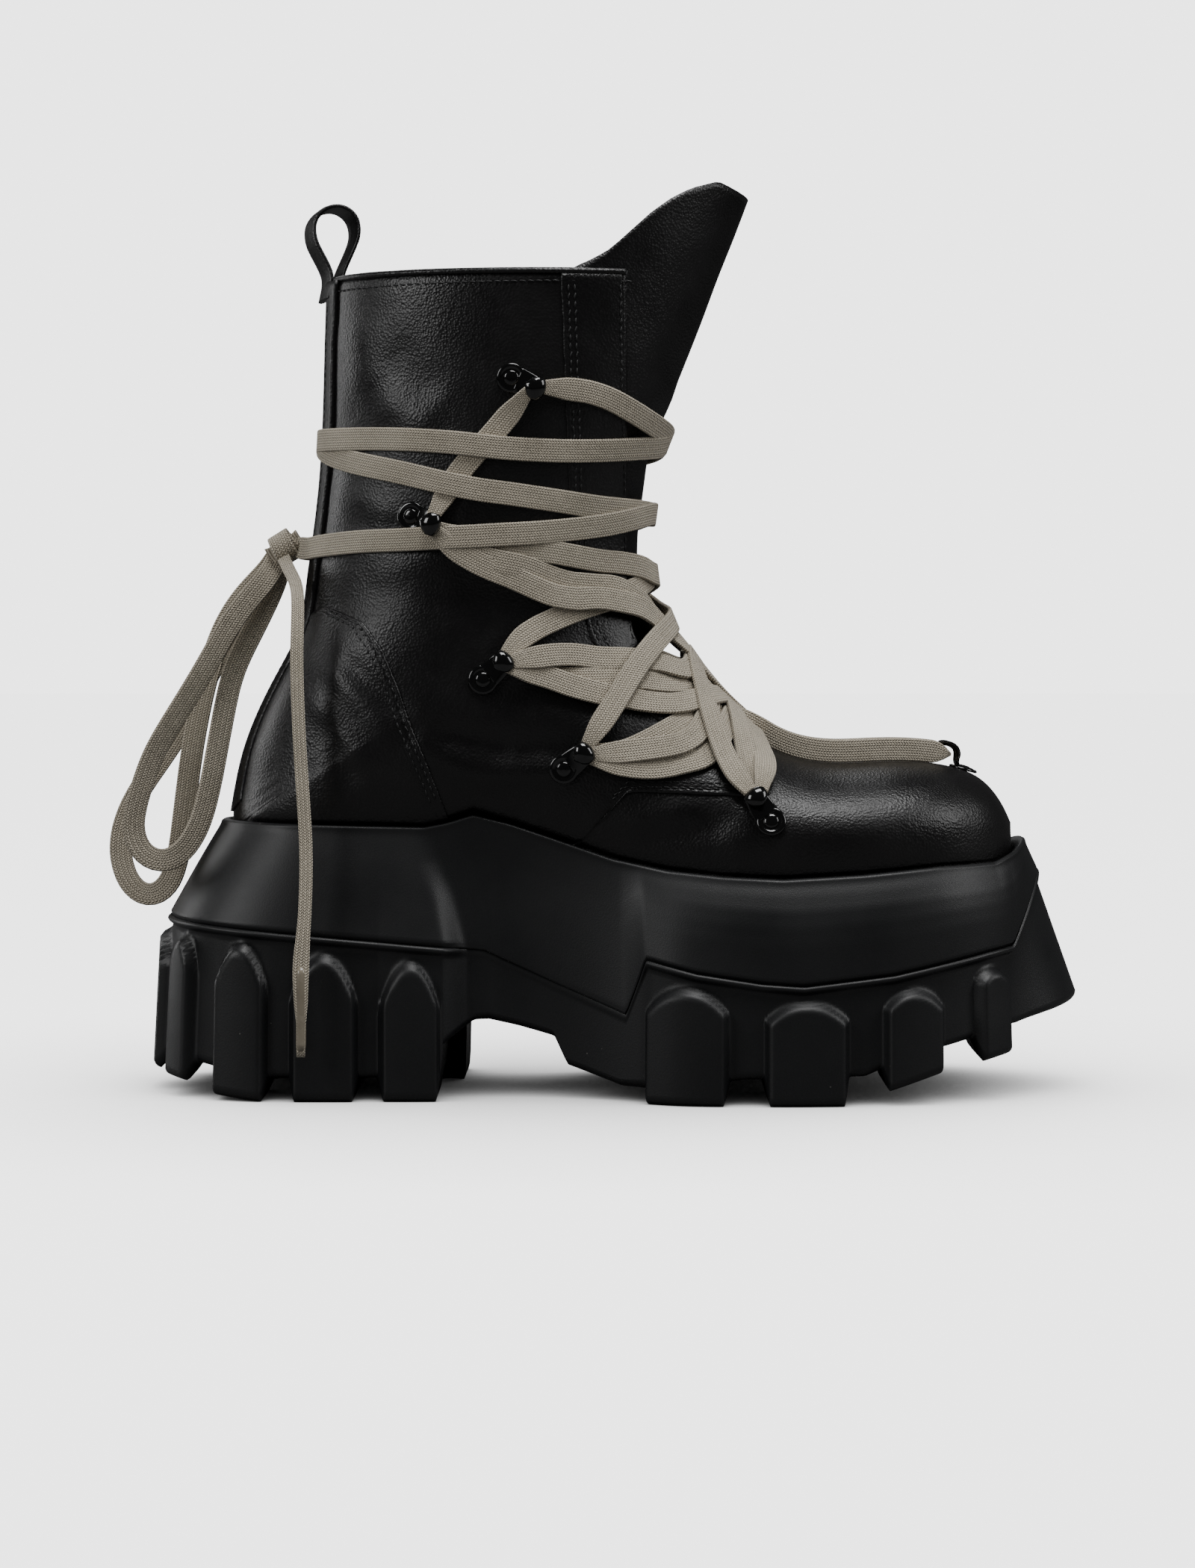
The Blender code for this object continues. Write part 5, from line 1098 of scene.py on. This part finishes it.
# Hooks: pressed steel, black enamel. Those at the sides rise at the throat side and curl back over the lace; the one
# on the toe rises next to its rivet and curls over the lace towards the ankle.
SIDE_FOLD = (
    (2.2, 0.6), (4.6, 0.6), (7.0, 0.8), (9.8, 1.2), (11.9, 2.6), (12.4, 4.5), (11.3, 6.1), (9.2, 6.7),
    (7.0, 6.3), (5.6, 5.5),
)
TOE_FOLD = (
    (-3.0, 0.9), (0.0, 0.9), (2.2, 1.0), (3.4, 1.8), (3.9, 3.2), (4.2, 5.2), (5.2, 6.9), (7.2, 7.6),
    (9.2, 7.5), (10.6, 6.7),
)
TOE_HOOK = (2.75, 1e-6, 3.75, 1e-6)  # on the centre line, facing the ankle


def hook_parts(row, share, aim_row, aim_share, height, fold=SIDE_FOLD, level=0.0):
    """Foot disc and rivet turned about the normal; the hook itself a cupped strip along the fold, its points given as
    distance towards the aim and height. The normal is taken a share of the way from the seat to the aim."""
    seat = leather_point(row, share, height)
    normal = upper_normal(row + level * (aim_row - row), share)
    ahead = leather_point(aim_row, aim_share, height) - seat
    ahead = unit(ahead - normal * (ahead @ normal))
    side = np.cross(ahead, normal)
    turned = []
    angle = turn_angles(36)
    ring = ahead * np.cos(angle)[:, None] + side * np.sin(angle)[:, None]
    for profile in (
        ((0.0, 0.0), (4.9, 0.0), (5.3, 0.35), (5.15, 0.85), (4.6, 1.15), (3.9, 1.2), (3.5, 0.95), (0.0, 0.9)),
        ((0.0, 0.6), (2.7, 0.7), (2.75, 1.1), (2.4, 1.55), (1.6, 1.85), (0.0, 1.95)),
    ):
        line = even_path(rounded(even_path(np.array(profile), 0.15), 2), 0.3)
        loops = seat + line[:, None, :1] * ring[None] + line[:, None, 1:] * normal
        turned.append((loops.reshape(-1, 3), tube_faces(*loops.shape[:2])))
    path = even_path(rounded(even_path(np.array(fold), 0.4), 6), 0.45)
    s = np.linspace(0.0, 1.0, len(path))
    tangent = unit(np.gradient(path, axis=0))
    out = np.stack([-tangent[:, 1], tangent[:, 0]], axis=1)
    half = np.interp(s, (0.0, 0.12, 0.35, 0.6, 0.85, 0.95, 1.0), (4.7, 4.5, 4.0, 4.1, 4.0, 3.1, 1.5))
    angle = turn_angles(20)
    wide, thick = boxy(np.cos(angle), 0.7), 0.6 * boxy(np.sin(angle), 0.8)
    cup = np.interp(s, (0.0, 0.3, 0.55, 1.0), (0.0, 0.3, 1.3, 1.2))[:, None] * (wide**2)[None, :]
    depth = thick[None, :] + cup
    along = path[:, None, 0] + out[:, None, 0] * depth
    up = path[:, None, 1] + out[:, None, 1] * depth
    loops = seat + ahead * along[..., None] + normal * up[..., None]
    loops = loops + side * (half[:, None] * wide[None, :])[..., None]
    return turned + [capped(loops)]


def joined(parts):
    """Points and quads of several bodies in one."""
    points, faces = zip(*parts)
    base = np.cumsum([0] + [len(part) for part in points])
    return np.concatenate(points), np.concatenate([part + first for part, first in zip(faces, base)])


HOOK_NAMES = ("top", "ankle", "instep", "side", "vamp")
for label, (row, share, aim_row, aim_share) in zip(HOOK_NAMES, HOOKS):
    base = 0.1 if label == "vamp" else PANEL
    for side, end in ((1.0, "_lateral"), (-1.0, "_medial")):
        name = "hook_" + label + end
        parts = hook_parts(row, side * share, aim_row, side * aim_share, base)
        make_piece(name + "_enamel", *joined(parts), enamel, "enamel", (name,), weld=0.005)
parts = hook_parts(*TOE_HOOK, -0.1, TOE_FOLD, 0.25)
make_piece("hook_toe_enamel", *joined(parts), enamel, "enamel", ("hook_toe",), weld=0.005)

# Laces: legs on one side by name, as (row, share) on the way from the hook to the throat; each run crosses from a
# lateral leg to a medial leg
LEGS = {
    "ankle high": ((24.6, 0.55), (23.0, 0.42), (20.9, 0.27), (17.6, 0.11), (16.4, 0.06)),
    "ankle middle": ((23.2, 0.48), (21.5, 0.36), (18.1, 0.22), (15.7, 0.16), (13.5, 0.08)),
    "ankle low": ((22.6, 0.46), (20.7, 0.35), (16.5, 0.22), (13.9, 0.12), (12.1, 0.06), (10.5, 0.035)),
    "instep up": ((18.4, 0.37), (17.6, 0.30), (16.6, 0.21), (16.3, 0.15)),
    "instep high": ((15.6, 0.35), (14.1, 0.30), (13.0, 0.24), (11.9, 0.18), (11.0, 0.14)),
    "instep middle": ((14.6, 0.385), (13.0, 0.31), (11.6, 0.23), (10.7, 0.15)),
    "instep low": ((12.8, 0.36), (11.6, 0.30), (10.3, 0.22)),
    "side up": ((12.2, 0.36), (12.7, 0.26), (13.1, 0.15)),
    "side middle": ((10.5, 0.37), (9.5, 0.27)),
    "side low": ((10.5, 0.43), (9.7, 0.35), (9.1, 0.30)),
    "vamp back": ((8.5, 0.33), (9.5, 0.23), (10.4, 0.15), (11.6, 0.05)),
    "vamp middle": ((8.4, 0.22), (9.0, 0.12)),
    "vamp front": ((7.8, 0.22), (8.2, 0.07), (8.7, 0.01)),
}
TOE_RUN = (
    (11.2, 0.43), (10.7, 0.34), (10.2, 0.24), (9.8, 0.13), (9.1, 0.06), (8.4, 0.045), (7.4, 0.042),
    (6.0, 0.04), (4.9, 0.038),
)
HOOK_TO_HOOK = ((26.5, 0.51), (25.9, 0.57))
# Twice round the shaft: a share past -1 has gone over the back seam
WRAP_RUN = (
    (26.8, 0.35), (26.2, 0.25), (25.4, 0.11), (25.0, 0.0), (24.7, -0.10), (25.9, -0.43), (26.5, -0.58),
    (26.9, -0.76), (27.05, -1.0), (26.9, -1.06), (26.6, -1.20), (26.2, -1.34), (25.3, -1.52), (24.1, -1.65),
    (22.1, -1.82), (21.2, -1.93), (21.0, -2.0), (21.3, -2.07), (21.8, -2.23), (23.2, -2.38), (24.6, -2.55),
    (25.3, -2.73), (25.5, -2.90), (25.42, -3.04),
)
# Crossings from the lowest laid to the uppermost
CROSSINGS = (
    ("side low", "side low"), ("side middle", "instep middle"), ("instep middle", "side middle"),
    ("vamp middle", "instep low"), ("instep low", "vamp middle"), ("instep high", "vamp back"),
    ("instep up", "ankle high"), ("ankle high", "instep up"), ("ankle middle", "side up"),
    ("vamp front", "ankle low"), ("ankle low", "vamp front"), ("side up", "ankle middle"),
    ("vamp back", "instep high"),
)


def lace_rest(row, share):
    """Height of a lace's middle over the leather: on the quarter, down to the tongue inside the throat, up over the
    facing strip, the counter and the back stay."""
    throat = facing_share(row)
    reach = np.abs(wrap(share))
    inward = smooth((0.85 * throat - reach) / np.maximum(throat * 0.5, 0.02)) * (throat > 0.0)
    on_quarter = smooth((row - 8.2) / 0.5)
    back = smooth((reach - 1.0 + 0.071 + 0.05) / 0.05)
    counter = smooth((reach - counter_share(row) + 0.02) / 0.03) * (row < 24.4)
    strip = 0.55 * smooth((strip_share(row) - reach) / 0.03)
    high = 0.5 * LACE_DEPTH + 0.25 + PANEL * on_quarter + strip * on_quarter
    return high - (TONGUE_DROP - 1.0) * inward + 1.8 * back + 0.9 * counter


def hood_place(row, share, aim_row, aim_share, reach):
    """(row, share) a distance from a hook's seat towards its aim: where its hood closes over the laces."""
    t = np.linspace(0.0, 2.5, 251)
    line = leather_point(row + (aim_row - row) * t, share + (aim_share - share) * t)
    at = np.interp(reach, np.linalg.norm(line - line[0], axis=1), t)
    return row + (aim_row - row) * at, share + (aim_share - share) * at


def lace_line(way):
    """Even (row, share) points along waypoints, eased at the corners."""
    way = np.array(way, dtype=float)
    between = np.linspace(0.0, 1.0, 16, endpoint=False)[None, :, None]
    fine = (way[:-1, None] + (way[1:] - way[:-1])[:, None] * between).reshape(-1, 2)
    fine = rounded(np.concatenate([fine, way[-1:]]), 60)
    length = run_length(leather_point(fine[:, 0], wrap(fine[:, 1])))
    at = np.linspace(0.0, length[-1], max(8, int(round(length[-1] / LACE_STEP))))
    return read_line(at, length, fine)


def mirrored(way):
    """The same way on the medial side."""
    return tuple((row, -share) for row, share in way)


# Every run's name, its way and how many of its ends are held by hooks, from the lowest laid to the uppermost
HOOD = {name: hood_place(*hook, 7.6) for name, hook in zip(HOOK_NAMES, HOOKS)}
TOE_WAY = (HOOD["side"],) + TOE_RUN + ((hood_place(*TOE_HOOK, 6.0)[0], 0.014),)
BETWEEN_WAY = (HOOD["top"],) + HOOK_TO_HOOK + (HOOD["ankle"],)
ROUND_WAY = (HOOD["top"],) + WRAP_RUN
runs = [("toe_lateral", TOE_WAY, 2), ("toe_medial", mirrored(TOE_WAY), 2)]
for near, far in CROSSINGS:
    there, back = [(HOOD[leg.split()[0]],) + LEGS[leg] for leg in (near, far)]
    runs.append((f"cross_{near}_{far}".replace(" ", "_"), there + mirrored(back)[::-1], 2))
for name, way, hooks in (("between", BETWEEN_WAY, 2), ("round", ROUND_WAY, 1)):
    runs += [(name + "_lateral", way, hooks), (name + "_medial", mirrored(way), hooks)]

# Each run rests on the leather and on the tapes laid before it, is pulled taut over dips, and dives into its hooks'
# hoods. Heights are of the tape's middle over the leather.
TAUT_PASSES = 30
SHAFT_PASSES = 8  # the lacing follows the shaft more closely than the instep
laid_base, laid_height = [], []
for name, way, hooks in runs:
    line = lace_line(way)
    row, share = line[:, 0], wrap(line[:, 1])
    base, normal = leather_point(row, share), upper_normal(row, share)
    from_end = np.arange(len(line)) * LACE_STEP
    if hooks == 2:
        from_end = np.minimum(from_end, from_end[::-1])
    in_hood = 1.0 - smooth((from_end - 1.0) / 8.0)
    need = lace_rest(row, share)
    if laid_base:
        other, level = np.concatenate(laid_base), np.concatenate(laid_height)
        gap = np.linalg.norm(base[:, None] - other[None], axis=2)
        over = level[None] + (LACE_DEPTH + 0.15) - 6.0 * smooth((gap - 5.5) / 4.0)
        lower = np.maximum(2.6, 4.5 - need) * smooth((row - 17.0) / 3.0)
        highest = 4.6 + 0.1 * len(laid_base) - lower
        need = np.maximum(need, np.minimum(over.max(axis=1), highest) - 8.0 * in_hood)
    hood_height = 3.5 + PANEL * smooth((row - 8.0) / 0.5)
    need = need + (hood_height - need) * in_hood
    height = need.copy()
    for turn in range(TAUT_PASSES):
        taut = 0.5 * (height[:-2] + height[2:])
        if turn >= SHAFT_PASSES:
            taut = np.where(row[1:-1] < 14.0, taut, height[1:-1])
        height[1:-1] = np.maximum(need[1:-1], taut)
    height = rounded(height[:, None], 8)[:, 0]
    laid_base.append(base)
    laid_height.append(height)
    on_edge = smooth((9.8 - row) / 1.8) * name.startswith("toe")
    path = base + normal * (height + (4.3 - height) * on_edge)[:, None]
    if hooks == 1:  # runs on from the back of the shaft to the knot
        keep = len(path) - 1 - int(np.argmax(np.abs(share[::-1]) < 0.955))
        to_knot = KNOT + (2.5, 0.0, 0.3) - path[keep]
        path = np.concatenate([path[:keep], path[keep] + to_knot * np.linspace(0.0, 1.0, 8)[:, None]])
        path[10:] = rounded(path[10:], 4)
        normal = np.concatenate([normal[:keep], np.tile(normal[keep], (8, 1))])
        from_end = np.minimum(np.arange(len(path)), np.arange(len(path))[::-1] + 2.5) * LACE_STEP
    tangent = unit(np.gradient(path, axis=0))
    flank = np.array([0.0, -1.0 if name == "toe_lateral" else 1.0, 0.0])
    facing = unit(normal + (flank - normal) * on_edge[:, None]) if hooks == 2 else normal
    side = unit(np.cross(tangent, facing))
    taper = 5.0 if name.startswith("toe") else 13.0
    width = LACE_WIDTH * (0.12 + 0.43 * smooth(from_end / 2.5) + 0.45 * smooth((from_end - 1.0) / taper))
    part = tape_piece(path, side, np.cross(side, tangent), width)
    make_tape("lace_" + name, [part], ("lacing",) if name == "toe_lateral" else ())

# Collar: the leather turned over a thin cord, from one facing round the back to the other
front = facing_share(np.array([28.95]))[0]
share = np.linspace(front + 0.004, 1.0, 150)
share = np.concatenate([share, -share[::-1][1:]])
path = leather_point(np.full(len(share), 28.97), share, -0.35)
tangent = unit(np.gradient(path, axis=0))
normal = upper_normal(np.full(len(share), 28.9), share)
up = unit(np.cross(normal, tangent))
up *= np.sign(up[:, 2:3])
ring = turn_angles(14)
loops = path[:, None] + normal[:, None] * (1.75 * np.cos(ring))[None, :, None]
loops = loops + up[:, None] * (1.25 * np.sin(ring))[None, :, None]
make_piece("collar_roll", *capped(loops), calf, "leather")

# Knot behind the ankle: two bands of lace pulled tight round a flat heart of folded strands
angle = np.linspace(0.0, 2.0 * math.pi, 40)
axis, level = unit(np.array([0.85, 0.0, 0.53])), np.array([0.0, 1.0, 0.0])
steep = np.cross(axis, level)
parts = []
for radius, shift, lean, width in ((5.1, -0.4, 0.25, 8.2), (4.2, 2.6, -0.5, 5.0)):
    ring = level * np.cos(angle)[:, None] + steep * np.sin(angle)[:, None]
    path = KNOT + ring * radius + axis * (shift + lean * 2.0 * np.sin(angle))[:, None]
    tangent = unit(np.gradient(path, axis=0))
    side = unit(np.cross(tangent, ring))
    parts.append(tape_piece(path, side, np.cross(side, tangent), width, 1.6))
heart = np.linspace(-1.0, 1.0, 14)
path = KNOT + axis * (6.6 * heart)[:, None]
bulk = 8.0 * (1.0 - 0.45 * np.abs(heart) ** 3)
parts.append(tape_piece(path, np.tile(level, (14, 1)), np.tile(steep, (14, 1)), bulk, 5.0))
make_tape("knot_lace", parts, ("lace_knot",))

# Clear tip on the hanging end
tip = cord_pieces["lace_end"][1][-15:-1]
tangent = unit(np.gradient(tip, axis=0))
side = unit(np.cross(tangent, np.tile([0.0, -1.0, 0.0], (len(tip), 1))))
ring = turn_angles(16)
s = np.linspace(0.0, 1.0, len(tip))
wide = 1.75 * np.interp(s, (0.0, 0.06, 0.94, 1.0), (0.9, 1.0, 1.0, 0.92))
loops = tip[:, None] + side[:, None] * (wide[:, None] * np.cos(ring))[..., None]
loops = loops + np.cross(side, tangent)[:, None] * (0.8 * wide[:, None] * np.sin(ring))[..., None]
aglet = make_piece("lace_tip", *capped(loops), tip_film, "lace", weld=0.005)

for label, far in (("bow_loop_outer", "object"), ("bow_loop_inner", "object"), ("lace_end", "fitting")):
    piece, path = cord_pieces[label]
    world = (path + SHIFT) * 0.001
    wide = LACE_WIDTH * 0.001 if label != "lace_end" else 0.0046


# Stitches: short rounded threads set along the seams
STITCH_PITCH, STITCH_LONG, STITCH_THICK = 2.9, 2.3, 0.36


def stitch_row(points, normals):
    """A bead per stitch: five six-sided rings along an ellipse, half sunk in the leather, slanted a little across the
    seam. Gives points and quads."""
    ring = turn_angles(6)
    along = STITCH_LONG * np.array([-0.5, -0.36, 0.0, 0.36, 0.5])
    radius = STITCH_THICK * np.array([0.15, 0.8, 1.0, 0.8, 0.15])[:, None]
    length = run_length(points)
    at = np.arange(1.0, length[-1] - 1.0, STITCH_PITCH)
    centre = read_line(at, length, points)
    ahead = unit(read_line(at + 0.4, length, points) - centre)
    normal = unit(read_line(at, length, normals))
    side = unit(np.cross(ahead, normal))
    ahead = unit(ahead + 0.12 * side)
    loops = centre[:, None, None] + ahead[:, None, None] * along[None, :, None, None]
    loops = loops + side[:, None, None] * (radius * np.cos(ring))[None, ..., None]
    loops = loops + normal[:, None, None] * (radius * np.sin(ring) + 0.06)[None, ..., None]
    end = np.array([[0, 1, 2, 3], [0, 3, 4, 5]])
    bead = np.concatenate([tube_faces(len(along), len(ring)), end, end[:, ::-1] + (len(along) - 1) * len(ring)])
    first = np.arange(len(at)) * len(along) * len(ring)
    return loops.reshape(-1, 3), (bead[None] + first[:, None, None]).reshape(-1, 4)


def inset_share(row, share, side, gap):
    """Share moved along the section by a distance on the leather."""
    step = 0.002
    run = np.linalg.norm(upper_point(row, side * (share + step)) - upper_point(row, side * share), axis=1) / step
    return share + gap / np.maximum(run, 1e-6)


# On each side: the quarter's front edge, the strip beside it, the vamp's seam, the counter's seam, under the collar,
# and beside the back stay
lines = []
for side in (1.0, -1.0):
    row = np.linspace(28.7, 9.6, 260)
    share = inset_share(row, facing_share(row) + 0.004, side, 2.2)
    lines.append(seam_path(row, share, side, PANEL + 0.5))
    row = np.linspace(28.7, 10.4, 240)
    for gap in (-2.4, -4.6):
        lines.append(seam_path(row, inset_share(row, strip_share(row), side, gap), side, PANEL + 0.48))
    row = np.linspace(8.6, 19.0, 200)
    seam = vamp_share(row)
    open_rows = seam < 0.995
    for gap in (-2.2, -4.4):
        share = inset_share(row[open_rows], seam[open_rows], side, gap)
        lines.append(seam_path(row[open_rows], share, side, PANEL - 0.05))
    row = np.linspace(14.0, 24.0, 200)
    seam = np.minimum(counter_share(row), 0.958)
    for gap in (2.0, 4.4):
        share = inset_share(row, seam, side, gap)
        inside = share < 0.93
        lines.append(seam_path(row[inside], share[inside], side, 2.0 * PANEL - 0.05))
    share = np.linspace(0.33, 0.925, 300)
    lines.append(seam_path(np.full(300, 28.78), share, side, PANEL + 0.05))
    row = np.linspace(19.8, 28.6, 160)
    lines.append(seam_path(row, np.full(160, 0.9425), side, 2.55))
beads = joined([stitch_row(points, normals) for points, normals in lines])
make_piece("seam_stitches", *beads, thread, "leather", weld=0.001)

# Plain pale floor that glows evenly to the eye, with a painted shadow close under the boot where ambient occlusion
# dims its glow, and soft studio light
stage_paint, tree, shader = new_material("matt studio floor", 0.9)
shader.inputs["Base Color"].default_value = linear("#6A6A6A")
shader.inputs["Emission Color"].default_value = linear("#E8E8E8")
seen = node(tree, "ShaderNodeLightPath").outputs["Is Camera Ray"]
# Painted contact shadow: the floor's glow is dimmed by ambient occlusion near the boot
occlusion_for_painted_shadow = node(tree, "ShaderNodeAmbientOcclusion", {"Distance": 0.22})
shade = node(tree, "ShaderNodeMath", {"operation": "POWER", 1: 1.6}, {0: occlusion_for_painted_shadow.outputs["AO"]})
pale = node(tree, "ShaderNodeMath", {"operation": "MULTIPLY", 1: 3.9}, {0: shade.outputs[0]})
glow_with_painted_shadow = node(tree, "ShaderNodeMath", {"operation": "MULTIPLY"}, {0: pale.outputs[0], 1: seen})
tree.links.new(glow_with_painted_shadow.outputs[0], shader.inputs["Emission Strength"])
floor_mesh = bpy.data.meshes.new("floor")
floor_mesh.from_pydata([(-6, -4, 0), (6, -4, 0), (6, 8, 0), (-6, 8, 0)], [], [(0, 1, 2, 3)])
floor_mesh.materials.append(stage_paint)
floor = bpy.data.objects.new("floor", floor_mesh)
bpy.context.scene.collection.objects.link(floor)


def area_light(name, place, aim, wide, tall, power):
    """Rectangular soft light that faces a point."""
    lamp = bpy.data.lights.new(name, "AREA")
    lamp.energy = power
    lamp.shape = "RECTANGLE"
    lamp.size = wide
    lamp.size_y = tall
    item = bpy.data.objects.new(name, lamp)
    bpy.context.scene.collection.objects.link(item)
    item.location = place
    away = Vector(place) - Vector(aim)
    item.rotation_euler = away.to_track_quat("Z", "Y").to_euler()
    return item


area_light("top softbox", (0.15, -0.30, 1.35), (0.0, 0.0, 0.1), 0.7, 0.5, 13.0)
area_light("left softbox", (-1.15, -0.80, 0.75), (-0.02, 0.0, 0.12), 0.45, 0.7, 7.0)
area_light("right softbox", (1.20, -0.35, 0.85), (0.05, 0.0, 0.12), 0.5, 0.8, 7.0)
area_light("back strip light", (-1.20, 0.55, 0.45), (-0.1, 0.0, 0.2), 0.25, 0.9, 4.0)
area_light("rear softbox", (-0.30, 1.35, 1.25), (0.0, 0.0, 0.12), 0.8, 0.5, 5.0)
world = bpy.data.worlds.new("studio")
bpy.context.scene.world = world
world.use_nodes = True
world.node_tree.nodes["Background"].inputs["Color"].default_value = linear("#E8E8E8")
seen = node(world.node_tree, "ShaderNodeLightPath").outputs["Is Camera Ray"]
# The backdrop is pale to the eye but lights the boot only faintly, so the black leather keeps its depth
pale = node(world.node_tree, "ShaderNodeMapRange", {"To Min": 0.06, "To Max": 4.1}, {"Value": seen})
world.node_tree.links.new(pale.outputs[0], world.node_tree.nodes["Background"].inputs["Strength"])
